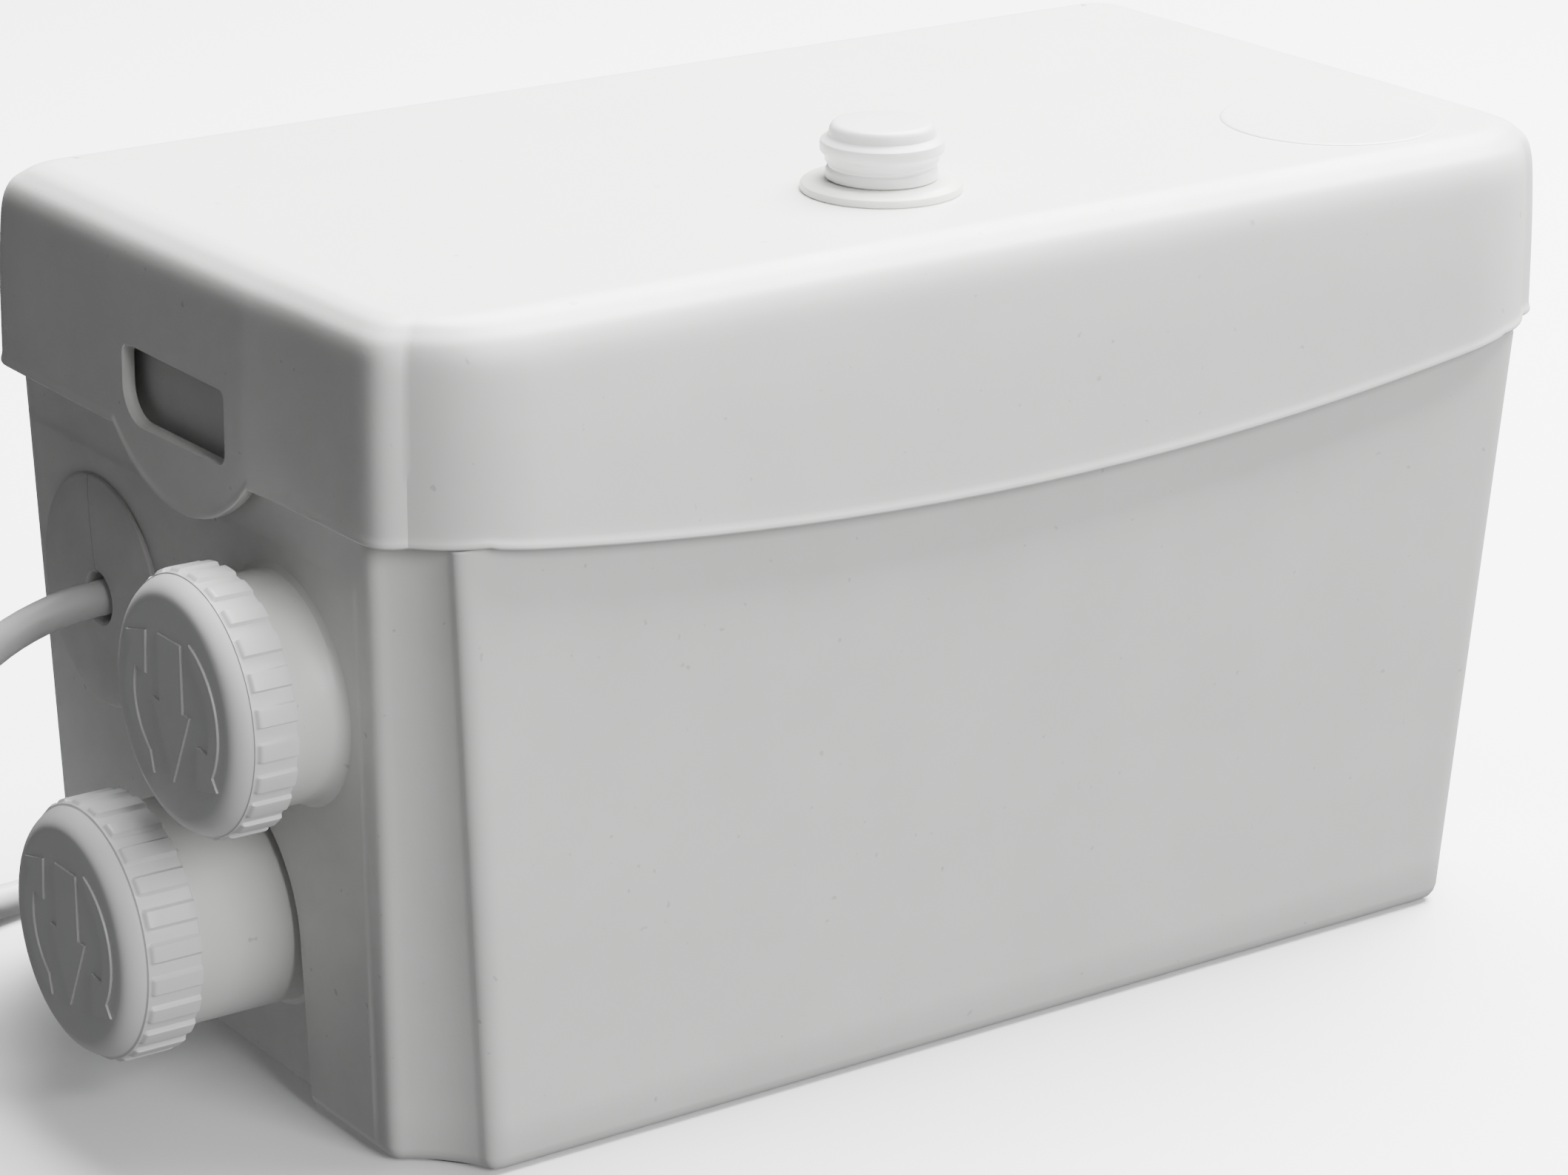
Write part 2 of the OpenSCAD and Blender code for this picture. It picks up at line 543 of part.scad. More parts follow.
module impeller() color([0.25, 0.27, 0.3])
  translate([mot_x, 0, 0]) difference() {
    union() {
      translate([0, 0, 50]) cylinder(r = 34.5, h = 3, $fn = 96);
      translate([0, 0, 38.2]) cylinder(r = 8.5, h = 12, $fn = 96);
      translate([0, 0, 25.05]) cylinder(r = 6, h = 13.2, $fn = 96);
      for (k = [0:vanes - 1]) rotate([0, 0, k * 360 / vanes]) intersection() {
        translate([0, 0, 39]) cylinder(r = 34.2, h = 14, $fn = 96);
        translate([20, -14, 40]) difference() {
          cylinder(r = 24, h = 11.3, $fn = 96);
          translate([0, 0, -1]) cylinder(r = 21.6, h = 13, $fn = 96);
          translate([-30, -30, -1]) cube([60, 44, 13]);
        }
      }
    }
    translate([0, 0, 20]) cylinder(r = 3.02, h = 20, $fn = 96);
    translate([0, 0, 38.25]) cylinder(r = shaft_r - 0.98, h = 10.2, $fn = 96);
    translate([0, 0, 48.4]) cylinder(r = shaft_r + 0.02, h = 10, $fn = 96);
  }
module cutter_blade() color(steel)
  translate([mot_x, 0, 22]) difference() {
    union() {
      cylinder(r = 8, h = 3, $fn = 96);
      for (k = [0:1]) rotate([0, 0, 180 * k]) {
        translate([0, -6, 0]) cube([30, 12, 3]);
        translate([27, -6, 0]) cube([3, 12, 7.5]);
      }
    }
    translate([0, 0, -1]) cylinder(r = 3.02, h = 12, $fn = 96);
    for (k = [0:1]) rotate([0, 0, 180 * k]) translate([14, 3.4, -1]) rotate([0, 0, 8]) cube([20, 6, 3]);
  }
module blade_nut() color(steel)
  translate([mot_x, 0, 16]) difference() {
    union() { cylinder(r = 6.2, h = 4.6, $fn = 6); translate([0, 0, 4.6]) cylinder(r = 7, h = 1.3, $fn = 96); }
    translate([0, 0, -1]) cylinder(r = 3.02, h = 12, $fn = 96);
  }
module grinder_basket() color(steel)
  difference() {
    union() {
      zcyl(mot_x, 0, 8, 37, 22);
      zcyl(mot_x, 0, 30, 41, 1.9);
    }
    zcyl(mot_x, 0, 10, 35.4, 22);
    for (k = [0:basket_slots - 1]) translate([mot_x, 0, 0]) rotate([0, 0, (k + 0.5) * 360 / basket_slots]) translate([30, -2.6, 13]) cube([10, 5.2, 13]);
    for (a = [0:60:300]) translate([mot_x, 0, 0]) rotate([0, 0, a]) { zcyl(22, 0, 6, 3.4, 6); zcyl(12, 0, 6, 2.6, 6); }
  }

// ---------- discharge line ----------
bend_r = 14;
top_r = 14.5;
ex = mot_x + 48 + bend_r;
vz = 47 + bend_r + 2.5;
// quarter bend of a round tube in the XZ plane, from angle a
module bend(r, ro, ri, a)
  rotate([90, 0, 0]) rotate_extrude(angle = 90, start = a, $fn = 96) translate([r, 0]) difference() { circle(ro, $fn = 96); circle(ri, $fn = 96); }
module riser_elbow() color(grey)
  union() {
    translate([ex - bend_r, dis_y, 47 + bend_r]) bend(bend_r, 12.4, 9.2, -90);
    xtube(mot_x + 41, dis_y, 47, 14.6, 11.95, 5.2);
    xtube(mot_x + 46.1, dis_y, 47, 14.6, 9.2, 1.9);
    ztube(ex, dis_y, 47 + bend_r, 18.8, 9.2, 2.4);
  }
module check_valve_body() color(shade)
  translate([ex, dis_y, 0]) difference() {
    union() {
      translate([0, 0, vz]) cylinder(r = 18.8, h = 23, $fn = 96);
      translate([0, 0, vz + 22.9]) cylinder(r = 12.4, h = 3.5, $fn = 96);
    }
    translate([0, 0, vz + 3]) cylinder(r = 16.4, h = 17.5, $fn = 96);
    translate([0, 0, vz - 5]) cylinder(r = 9.2, h = 40, $fn = 96);
    translate([-12.6, 20, vz + 6.7]) rotate([90, 0, 0]) cylinder(r = 1.27, h = 40, $fn = 96);
  }
module check_flap() color(dark)
  translate([ex, dis_y, 0]) difference() {
    union() {
      translate([0.6, 0, vz + 3.2]) cylinder(r = 11.6, h = 2, $fn = 96);
      translate([-12.6, -5, vz + 3.4]) cube([8, 10, 1.6]);
      translate([-12.6, 6, vz + 6.7]) rotate([90, 0, 0]) cylinder(r = 2.2, h = 12, $fn = 96);
    }
    translate([-12.6, 20, vz + 6.7]) rotate([90, 0, 0]) cylinder(r = 1.3, h = 40, $fn = 96);
  }
module check_flap_pin() color(steel)
  translate([ex - 12.6, dis_y + 12.5, vz + 6.7]) rotate([90, 0, 0]) cylinder(r = 1.25, h = 25, $fn = 96);
module riser_top() color(grey)
  union() {
    ztube(ex, dis_y, vz + 23.1, 14.6, 12.45, 3.4);
    ztube(ex, dis_y, vz + 26.45, 14.6, 9.2, dis_z - top_r - vz - 26.45);
    translate([ex + top_r, dis_y, dis_z - top_r]) bend(top_r, 12.4, 9.2, 90);
    xtube(ex + top_r, dis_y, dis_z, 12.4, 9.2, 13.5);
  }
module discharge_fitting() color(shade)
  union() {
    xtube(132, dis_y, dis_z, 17, 12.45, 14.3);
    xtube(146.2, dis_y, dis_z, 22, 12.45, 2);
    xtube(148.1, dis_y, dis_z, 14.9, 12.45, 9);
  }
module discharge_seal() color(dark) xtube(144.6, dis_y, dis_z, 21, 17.1, 1.6);
module discharge_nut() color(shade)
  difference() {
    xcyl(134.4, dis_y, dis_z, 19.7, 5.1);
    xcyl(130, dis_y, dis_z, 17.05, 20);
    for (a = [0:45:315]) translate([130, dis_y, dis_z]) rotate([a, 0, 0]) translate([0, -1.5, 18.6]) cube([20, 3, 3]);
  }
el_x = 177;
module discharge_elbow() color([0.30, 0.30, 0.31])
  union() {
    translate([el_x - 20, dis_y, dis_z + 20]) bend(20, 19, 15, -90);
    xtube(148.5, dis_y, dis_z, 19, 15, el_x - 20 - 148.5);
    ztube(el_x, dis_y, dis_z + 20, 19, 15, 4);
    ztube(el_x, dis_y, dis_z + 24, 19, dis_bore_r, 22);
    ztube(el_x, dis_y, dis_z + 42.6, 19.6, dis_bore_r, 3.4);
  }
// worm-drive band round a sleeve along Z, with its screw housing
module hose_clamp()
  union() {
    ztube(0, 0, 0, 20.1, 19.05, 7.6);
    difference() {
      translate([17, -6, 0.3]) cube([9.4, 12, 7]);
      translate([0, 0, -1]) cylinder(r = 19.6, h = 10, $fn = 96);
    }
    translate([23.2, -9.5, 3.8]) rotate([-90, 0, 0]) cylinder(r = 2.9, h = 4, $fn = 96);
  }
module elbow_clamps() color(steel) {
  translate([el_x, dis_y, dis_z + 30]) rotate([0, 0, 120]) hose_clamp();
  translate([149.2, dis_y, dis_z]) rotate([0, 90, 0]) rotate([0, 0, 20]) hose_clamp();
}

// ---------- level switch ----------
module pressure_tube() color(shade)
  difference() {
    union() {
      zcyl(-50, 46, 24, 14, 110);
      zcyl(-50, 46, 134, 10.9, deck_z + deck_t - 134 + 2);
      zcyl(-50, 46, deck_z - 3, 16, 3);
    }
    zcyl(-50, 46, 20, 12, 110);
    zcyl(-50, 46, 120, 4, 40);
    for (a = [0:60:300]) translate([-50, 46, 26]) rotate([0, 0, a]) translate([8, -2, 0]) cube([10, 4, 8]);
  }
module switch_housing() color(dark)
  difference() {
    union() {
      zcyl(-50, 46, deck_z + deck_t, 20, 12);
      translate([-64, 38, 156.4]) cube([28, 16, 13]);
    }
    zcyl(-50, 46, deck_z + deck_t - 1, 11, 5);
    zcyl(-50, 46, deck_z + deck_t + 3.4, 17.6, 6.4);
    zcyl(-50, 46, 150, 2.6, 16);
    translate([-60, 41, 160.5]) cube([20, 10, 6.5]);
  }
module switch_plunger() color([0.85, 0.3, 0.2])
  union() {
    zcyl(-50, 46, deck_z + deck_t + 3.8, 17, 1.4);
    zcyl(-50, 46, deck_z + deck_t + 5, 6, 1.4);
    zcyl(-50, 46, deck_z + deck_t + 5, 2.5, 11);
  }

// ---------- mains lead ----------
lead_pts = [[-136, 42.5, 92], [-146, 42.5, 92], [-158, 42.7, 90.8], [-170, 44, 86], [-180, 47.5, 76.5], [-186, 53, 63.5], [-188, 60, 49.5],
  [-186.5, 68, 36], [-181.5, 76.5, 23.5], [-173, 85, 13.5], [-160, 93, 6.6], [-144, 98.3, 4], [-124, 100, 3.75], [-92, 98.5, 3.75],
  [-55, 97.5, 3.75], [-20, 97.2, 3.75], [6, 97.2, 3.75]];
module power_cord_lead() color(white) sweep(lead_pts, cord_d / 2, [0, 1, 0], 2, 10);
module power_cord_coil() color(white)
  translate([20, 141, 0]) rotate_extrude($fn = 96)
    polygon([[coil_r - 11.3, 0], [coil_r + 3.8, 0], [coil_r + 3.8, 15], [coil_r - 11.3, 15]]);
tail_pts = [[20, 97.2, 11.25], [40, 97.7, 12], [56, 99.3, 13.8], [70, 101.2, 16.6], [81, 102, 18], [91.95, 102, 18]];
module power_cord_tail() color(white) sweep(tail_pts, cord_d / 2, [0, 1, 0], 2, 10);
module plug_body() color(white)
  translate([92, 102, 18]) rotate([0, 90, 0]) difference() {
    rotate_extrude($fn = 96)
      polygon([[0, 0], [5.4, 0], [6.6, 12], [7.6, 22], [11, 26], [15.4, 30], [17.6, 36], [18, 44], [18, 60], [17.2, 61], [0, 61]]);
    for (a = [0, 180]) rotate([0, 0, a]) translate([15.6, -3, 44]) cube([4, 6, 20]);
    for (y = [-9.5, 9.5]) translate([0, y, 50]) cylinder(r = 2.4, h = 12, $fn = 48);
  }
module plug_pins() color(brass)
  translate([92, 102, 18]) rotate([0, 90, 0]) {
    for (y = [-9.5, 9.5]) translate([0, y, 50]) { cylinder(r = 2.4, h = 28.6, $fn = 48); translate([0, 0, 28.6]) cylinder(r1 = 2.4, r2 = 1.4, h = 1.2, $fn = 48); }
    for (a = [0, 180]) rotate([0, 0, a]) translate([15.7, -2, 44.1]) cube([0.9, 4, 16]);
  }

tank();
lid();
lid_gasket();
vent_collar();
vent_plug();
carbon_filter();
upper_cap();
upper_cap_seal();
lower_cap();
lower_cap_seal();
upper_flap_seat();
upper_flap();
upper_flap_pin();
lower_flap_seat();
lower_flap();
lower_flap_pin();
cable_grommet();
cable_box();
cord_clamp();
inner_cord();
terminal_block();
capacitor();
inner_cover();
cover_seal();
cover_screws();
motor_housing();
motor_cap();
motor_screws();
stator_core();
stator_windings();
rotor();
motor_shaft();
upper_bearing();
lower_bearing();
shaft_seal();
motor_lead();
pump_casing();
suction_plate();
impeller();
cutter_blade();
blade_nut();
grinder_basket();
riser_elbow();
check_valve_body();
check_flap();
check_flap_pin();
riser_top();
discharge_fitting();
discharge_seal();
discharge_nut();
discharge_elbow();
elbow_clamps();
pressure_tube();
switch_housing();
switch_plunger();
power_cord_lead();
power_cord_coil();
power_cord_tail();
plug_body();
plug_pins();
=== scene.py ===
import json
import math

import bpy
import bmesh
import numpy as np
from mathutils import Matrix, Vector

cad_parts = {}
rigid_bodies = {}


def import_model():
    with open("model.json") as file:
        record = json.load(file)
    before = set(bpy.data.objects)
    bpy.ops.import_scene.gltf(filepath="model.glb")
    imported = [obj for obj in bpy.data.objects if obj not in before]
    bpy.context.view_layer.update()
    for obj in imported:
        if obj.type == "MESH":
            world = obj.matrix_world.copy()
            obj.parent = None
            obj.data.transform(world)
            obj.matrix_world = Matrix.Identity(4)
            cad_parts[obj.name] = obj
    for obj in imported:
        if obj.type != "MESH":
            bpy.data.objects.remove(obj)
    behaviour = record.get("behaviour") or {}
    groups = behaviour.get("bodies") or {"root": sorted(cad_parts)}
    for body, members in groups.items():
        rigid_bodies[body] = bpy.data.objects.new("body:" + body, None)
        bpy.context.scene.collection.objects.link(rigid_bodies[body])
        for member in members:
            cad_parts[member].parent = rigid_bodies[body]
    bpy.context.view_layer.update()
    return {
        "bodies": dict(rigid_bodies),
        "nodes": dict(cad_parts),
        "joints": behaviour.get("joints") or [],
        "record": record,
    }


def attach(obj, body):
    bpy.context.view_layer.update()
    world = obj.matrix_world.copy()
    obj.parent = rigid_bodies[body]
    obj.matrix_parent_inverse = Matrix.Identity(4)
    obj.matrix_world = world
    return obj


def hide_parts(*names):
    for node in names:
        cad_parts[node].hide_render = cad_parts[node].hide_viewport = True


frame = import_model()
NODES = frame["nodes"]
ROOT = "tank_unit"
MM = 0.001

# ------------------------------------------------------------------ camera
YAW, PITCH, ROLL = math.radians(-35.09), math.radians(19.23), math.radians(0.35)
back = Vector((math.sin(YAW) * math.cos(PITCH), -math.cos(YAW) * math.cos(PITCH), math.sin(PITCH)))
fwd = -back
right = fwd.cross(Vector((0, 0, 1))).normalized()
up = right.cross(fwd)
right2 = math.cos(ROLL) * right + math.sin(ROLL) * up
up2 = -math.sin(ROLL) * right + math.cos(ROLL) * up
cam_data = bpy.data.cameras.new("camera")
cam_data.sensor_fit = "HORIZONTAL"
cam_data.sensor_width = 36.0
cam_data.lens = 36.0 * 6527.13 / 2118.0
cam_data.clip_start, cam_data.clip_end = 0.05, 20.0
cam = bpy.data.objects.new("camera", cam_data)
bpy.context.scene.collection.objects.link(cam)
m = Matrix((right2, up2, back)).transposed().to_4x4()
m.translation = Vector((-0.57603, -0.81529, 0.42599))
cam.matrix_world = m
bpy.context.scene.camera = cam


# ------------------------------------------------------------------ mesh helpers
def obj_from(name, verts, faces, smooth=True):
    me = bpy.data.meshes.new(name)
    me.from_pydata([Vector(v) * MM for v in verts], [], [list(f) for f in faces])
    me.validate()
    bm = bmesh.new()
    bm.from_mesh(me)
    bmesh.ops.remove_doubles(bm, verts=bm.verts, dist=1e-6)
    bmesh.ops.recalc_face_normals(bm, faces=bm.faces)
    bm.to_mesh(me)
    bm.free()
    ob = bpy.data.objects.new(name, me)
    bpy.context.scene.collection.objects.link(ob)
    if smooth:
        me.polygons.foreach_set("use_smooth", [True] * len(me.polygons))
    return ob


def loft(rings, close_u=True, cap0=False, cap1=False, closed_v=False):
    """Skins a list of equal-length rings; returns verts, faces."""
    n = len(rings[0])
    verts = [tuple(p) for r in rings for p in r]
    faces = []
    R = len(rings)
    for i in range(R if closed_v else R - 1):
        a, b = i * n, ((i + 1) % R) * n
        for k in range(n if close_u else n - 1):
            k2 = (k + 1) % n
            faces.append((a + k, a + k2, b + k2, b + k))
    if cap0:
        faces.append(tuple(range(n - 1, -1, -1)))
    if cap1:
        faces.append(tuple((R - 1) * n + k for k in range(n)))
    return verts, faces


def active(ob):
    bpy.ops.object.select_all(action="DESELECT")
    ob.select_set(True)
    bpy.context.view_layer.objects.active = ob


def apply_all(ob):
    """Bakes the modifiers of ob into its mesh."""
    dg = bpy.context.evaluated_depsgraph_get()
    me = bpy.data.meshes.new_from_object(ob.evaluated_get(dg), preserve_all_data_layers=True, depsgraph=dg)
    old = ob.data
    ob.modifiers.clear()
    ob.data = me
    bpy.data.meshes.remove(old)
    return ob


def boolean(ob, cutters, op="DIFFERENCE"):
    for c in cutters:
        md = ob.modifiers.new("b", "BOOLEAN")
        md.operation = op
        md.solver = "EXACT"
        md.object = c
    apply_all(ob)
    for c in cutters:
        bpy.data.objects.remove(c)
    return ob


def bevel(ob, width, segments=3, angle=32):
    md = ob.modifiers.new("bv", "BEVEL")
    md.width = width * MM
    md.segments = segments
    md.limit_method = "ANGLE"
    md.angle_limit = math.radians(angle)
    md.use_clamp_overlap = True
    md.harden_normals = False
    md.miter_outer = "MITER_ARC"
    apply_all(ob)
    return ob


def shade(ob, angle=35):
    me = ob.data
    me.polygons.foreach_set("use_smooth", [True] * len(me.polygons))
    me.set_sharp_from_angle(angle=math.radians(angle))
    return ob


def join(name, parts):
    """One mesh of several objects."""
    bm = bmesh.new()
    for p in parts:
        dg = bpy.context.evaluated_depsgraph_get()
        me = p.evaluated_get(dg).to_mesh()
        me.transform(p.matrix_world)
        bm.from_mesh(me)
        p.evaluated_get(dg).to_mesh_clear()
    me = bpy.data.meshes.new(name)
    bm.to_mesh(me)
    bm.free()
    for p in parts:
        bpy.data.objects.remove(p)
    ob = bpy.data.objects.new(name, me)
    bpy.context.scene.collection.objects.link(ob)
    return ob


def lathe(name, profile, n=128, origin=(0, 0, 0), axis="Z", fold=None):
    """Turns (r, h) points round the axis; -X means h runs towards -X."""
    rings = []
    for r, h in profile:
        ring = []
        for k in range(n):
            a = 2 * math.pi * k / n
            c, s = r * math.cos(a), r * math.sin(a)
            if axis == "Z":
                p = (c, s, h)
            elif axis == "-X":
                p = (-h, c, s)
            elif axis == "X":
                p = (h, c, s)
            ring.append((p[0] + origin[0], p[1] + origin[1], p[2] + origin[2]))
        rings.append(ring)
    v, f = loft(rings)
    return obj_from(name, v, f)


def arc_pts(cx, cy, r, a0, a1, n):
    return [(cx + r * math.cos(math.radians(a0 + (a1 - a0) * i / n)), cy + r * math.sin(math.radians(a0 + (a1 - a0) * i / n))) for i in range(n + 1)]


# ------------------------------------------------------------------ mains lead (first, with the camera)
LEAD = [(-136, 42.5, 92), (-146, 42.5, 92), (-158, 42.7, 90.8), (-170, 44, 86), (-180, 47.5, 76.5), (-186, 53, 63.5), (-188, 60, 49.5),
        (-186.5, 68, 36), (-181.5, 76.5, 23.5), (-173, 85, 13.5), (-160, 93, 6.6), (-144, 98.3, 4), (-124, 100, 3.75), (-92, 98.5, 3.75),
        (-55, 97.5, 3.75), (-20, 97.2, 3.75), (6, 97.2, 3.75)]
TAIL = [(40, 97.7, 12), (56, 99.3, 13.8), (70, 101.2, 16.6), (81, 102, 18), (91.95, 102, 18)]
CO, CR, CD = (20.0, 141.0), 43.8, 7.5


def coil_points():
    """Two turns side by side on the floor, then a third on top of them."""
    pts = []
    table = [(0, 43.8, 3.75), (280, 43.8, 3.75), (346, 36.2, 3.75), (590, 36.2, 3.75), (652, 36.2, 11.3), (860, 36.2, 11.3),
             (935, 43.8, 11.3), (1080, 43.8, 11.3)]
    for d in range(0, 1081, 15):
        for (d0, r0, z0), (d1, r1, z1) in zip(table, table[1:]):
            if d0 <= d <= d1:
                t = (d - d0) / (d1 - d0)
                t = t * t * (3 - 2 * t)
                r, z = r0 + (r1 - r0) * t, z0 + (z1 - z0) * t
                break
        a = math.radians(-90 + d)
        pts.append((CO[0] + r * math.cos(a), CO[1] + r * math.sin(a), z))
    return pts


def catmull(P, n):
    out = []
    L = len(P)
    for i in range(L - 1):
        p0 = P[i - 1] if i else 2 * P[0] - P[1]
        p1, p2 = P[i], P[i + 1]
        p3 = P[i + 2] if i + 2 < L else 2 * P[-1] - P[-2]
        for k in range(n):
            t = k / n
            out.append(0.5 * (2 * p1 + (p2 - p0) * t + (2 * p0 - 5 * p1 + 4 * p2 - p3) * t * t + (3 * p1 - p0 - 3 * p2 + p3) * t ** 3))
    out.append(P[-1])
    return out


ROUTE = [Vector(p) for p in LEAD] + [Vector(p) for p in coil_points()] + [Vector(p) for p in TAIL]
LINE = catmull(ROUTE, 4)


def tube(name, line, r, m=20):
    """Round tube along points, with a frame carried from ring to ring."""
    L = len(line)
    t0 = (line[1] - line[0]).normalized()
    u = t0.cross(Vector((0, 1, 0))).normalized()
    rings = []
    for i, p in enumerate(line):
        a = line[max(0, i - 1)]
        b = line[min(L - 1, i + 1)]
        t = (b - a).normalized()
        u = (u - t * u.dot(t)).normalized()
        w = t.cross(u)
        rings.append([p + r * (math.cos(2 * math.pi * k / m) * u + math.sin(2 * math.pi * k / m) * w) for k in range(m)])
    v, f = loft(rings, cap0=True, cap1=True)
    return obj_from(name, v, f)


cord = tube("mains_lead", LINE, CD / 2)

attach(cord, ROOT)
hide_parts("power_cord_lead", "power_cord_coil", "power_cord_tail")

# ------------------------------------------------------------------ plan outlines
RAMP = [0.0, 0.04, 0.12, 0.25, 0.4, 0.55, 0.7, 0.82, 0.91, 0.97]


def bez(p0, p1, p2, p3, n, last=False):
    out = []
    for i in range(n + (1 if last else 0)):
        t = i / n
        a, b, c, d = (1 - t) ** 3, 3 * t * (1 - t) ** 2, 3 * t * t * (1 - t), t ** 3
        out.append((a * p0[0] + b * p1[0] + c * p2[0] + d * p3[0], a * p0[1] + b * p1[1] + c * p2[1] + d * p3[1]))
    return out


def corner(cx, cy, r, a0, a1, n):
    return [(cx + r * math.cos(math.radians(a0 + (a1 - a0) * i / n)), cy + r * math.sin(math.radians(a0 + (a1 - a0) * i / n))) for i in range(n)]


def seg(p, q, ts):
    return [(p[0] + (q[0] - p[0]) * t, p[1] + (q[1] - p[1]) * t) for t in ts]


def mirror(half):
    """Left half from the rear middle round to the front middle, then its mirror image."""
    return half + [(-x, y) for x, y in reversed(half[1:-1])]


def normals(P):
    out = []
    n = len(P)
    for i in range(n):
        a, b, c = P[i - 1], P[i], P[(i + 1) % n]
        u = Vector((b[0] - a[0], b[1] - a[1])).normalized()
        w = Vector((c[0] - b[0], c[1] - b[1])).normalized()
        t = (u + w).normalized()
        out.append((t.y, -t.x))
    return out


# ------------------------------------------------------------------ lid
TAB_Y, TAB_Z, TAB_R = 0.5, 158.5, 36.0
TH = math.sqrt(TAB_R ** 2 - (TAB_Z - 134.4) ** 2)


def lid_half():
    P = seg((0, 83.9), (-140, 83.9), [i / 24 for i in range(24)])
    P += corner(-141.6, 75.5, 8.4, 90, 180, 8)
    side = [(-150, 75.5), (-150, 64), (-150, 52), (-150, 40)]
    ys = [TAB_Y + TH + 3, TAB_Y + TH + 1, TAB_Y + TH]
    ys += [TAB_Y + TH * math.cos(math.pi * i / 26) for i in range(1, 26)]
    ys += [TAB_Y - TH, TAB_Y - TH - 1, TAB_Y - TH - 3, -38, -47, -56]
    tab = [(40, -150), (28, -150), (-25, -149.1), (-38, -148.1), (-68, -147.3)]

    def sx(y):
        for (y0, x0), (y1, x1) in zip(tab, tab[1:]):
            if y1 <= y <= y0:
                return x0 + (x1 - x0) * (y0 - y) / (y0 - y1)
        return tab[-1][1]
    P += side + [(sx(y), y) for y in ys]
    P += bez((-147.4, -64), (-147.25, -70.6), (-146.4, -72.6), (-141.3, -74.0), 14)
    P += bez((-141.3, -74.0), (-137.2, -78.4), (-132.5, -83.2), (-119, -83.9), 18)
    P += seg((-119, -83.9), (0, -83.9), [0, 0.04, 0.1, 0.17, 0.25, 0.33, 0.42, 0.51, 0.6, 0.7, 0.8, 0.9, 1.0])
    return P


LIDP = mirror(lid_half())
LIDN = normals(LIDP)


def lid_low(x, y):
    if abs(x) > 140 and abs(y - TAB_Y) < TH:
        return TAB_Z - math.sqrt(TAB_R ** 2 - (y - TAB_Y) ** 2)
    if y < -60 and abs(x) < 128:
        return min(134.4, 124.2 + 830 - math.sqrt(830 ** 2 - x * x))
    return 134.4


def lid_target(x, y):
    """Point of the flat top's outline that belongs to an outline point."""
    a, b, f, r = 138.4, 72.2, 15.0, 6.0
    x2, y2 = max(-a, min(a, x)), max(-72.2, min(71.2, y))
    if y < 0 and abs(x) > 119:
        cx, cy = 138.4 - f, -72.2 + f
        t = math.atan2(-(y - cy), abs(x) - cx)
        t = min(math.pi / 2, max(0, t))
        if y < cy:
            return math.copysign(cx + f * math.cos(t), x), cy - f * math.sin(t)
    if y > 75 and abs(x) > 138:
        cx, cy = 138.4 - r, 71.2 - r
        t = min(math.pi / 2, max(0, math.atan2(y - 75.5, abs(x) - 141.6)))
        return math.copysign(cx + r * math.cos(t), x), cy + r * math.sin(t)
    return x2, y2


TOPFIL = [(0.0, 150.0), (0.16, 156), (0.4, 161.5), (0.62, 165.5), (0.92, 168.8), (1.5, 171.5), (2.6, 173.9), (4.4, 175.6), (5.9, 176.7), (7.6, 177.4), (9.4, 177.85), (11.5, 178.0)]
TF = [(v.x, v.y) for v in catmull([Vector((a, b, 0)) for a, b in TOPFIL], 3)][3:]


def lid_ring(z, inset, off):
    """z is a height or a function of the lower edge; inset 0..11.5 towards the top's outline."""
    ring = []
    for (x, y), (nx, ny) in zip(LIDP, LIDN):
        lo = lid_low(x, y)
        zz = z(lo) if callable(z) else z
        tx, ty = lid_target(x, y)
        w = inset / 11.5
        d = off + (0.012 * (150 - zz) if zz < 150 else 0)
        ring.append((x + (tx - x) * w + nx * d, y + (ty - y) * w + ny * d, zz))
    return ring


rings = []
for z, o in ((lambda q: q + 0.9, -2.4), (lambda q: q + 0.25, -2.15), (lambda q: q, -1.5), (lambda q: q, -0.4), (lambda q: q + 0.12, 0.05),
             (lambda q: q + 0.45, 0.3), (lambda q: q + 0.9, 0.34), (lambda q: q + 1.4, 0.2), (lambda q: q + 2.0, 0.05), (lambda q: q + 2.7, 0.0)):
    rings.append(lid_ring(z, 0, o))
for t in (0.12, 0.3, 0.5, 0.75, 1.0):
    rings.append(lid_ring(lambda q, t=t: q + 2.7 + (150.0 - q - 2.7) * t, 0, 0))
for i, z in TF:
    rings.append(lid_ring(z, i, 0))
inner = [lid_ring(176.0, 10, -2.0), lid_ring(175.2, 7.6, -2.4), lid_ring(173.5, 4.6, -2.4), lid_ring(169, 1.6, -2.4), lid_ring(160, 0.6, -2.4), lid_ring(150, 0, -2.4),
         lid_ring(lambda q: q + 6, 0, -2.4)]
v, f = loft(rings)
n = len(LIDP)
base = len(v)
for r in inner:
    v += r
R = len(rings)
f.append(tuple((R - 1) * n + k for k in range(n)))
for i in range(len(inner) - 1):
    for k in range(n):
        k2 = (k + 1) % n
        f.append((base + i * n + k, base + i * n + k2, base + (i + 1) * n + k2, base + (i + 1) * n + k))
f.append(tuple(base + k for k in range(n - 1, -1, -1)))
L = base + (len(inner) - 1) * n
for k in range(n):
    k2 = (k + 1) % n
    f.append((L + k, L + k2, k2, k))
lid = obj_from("lid_shell", v, f)


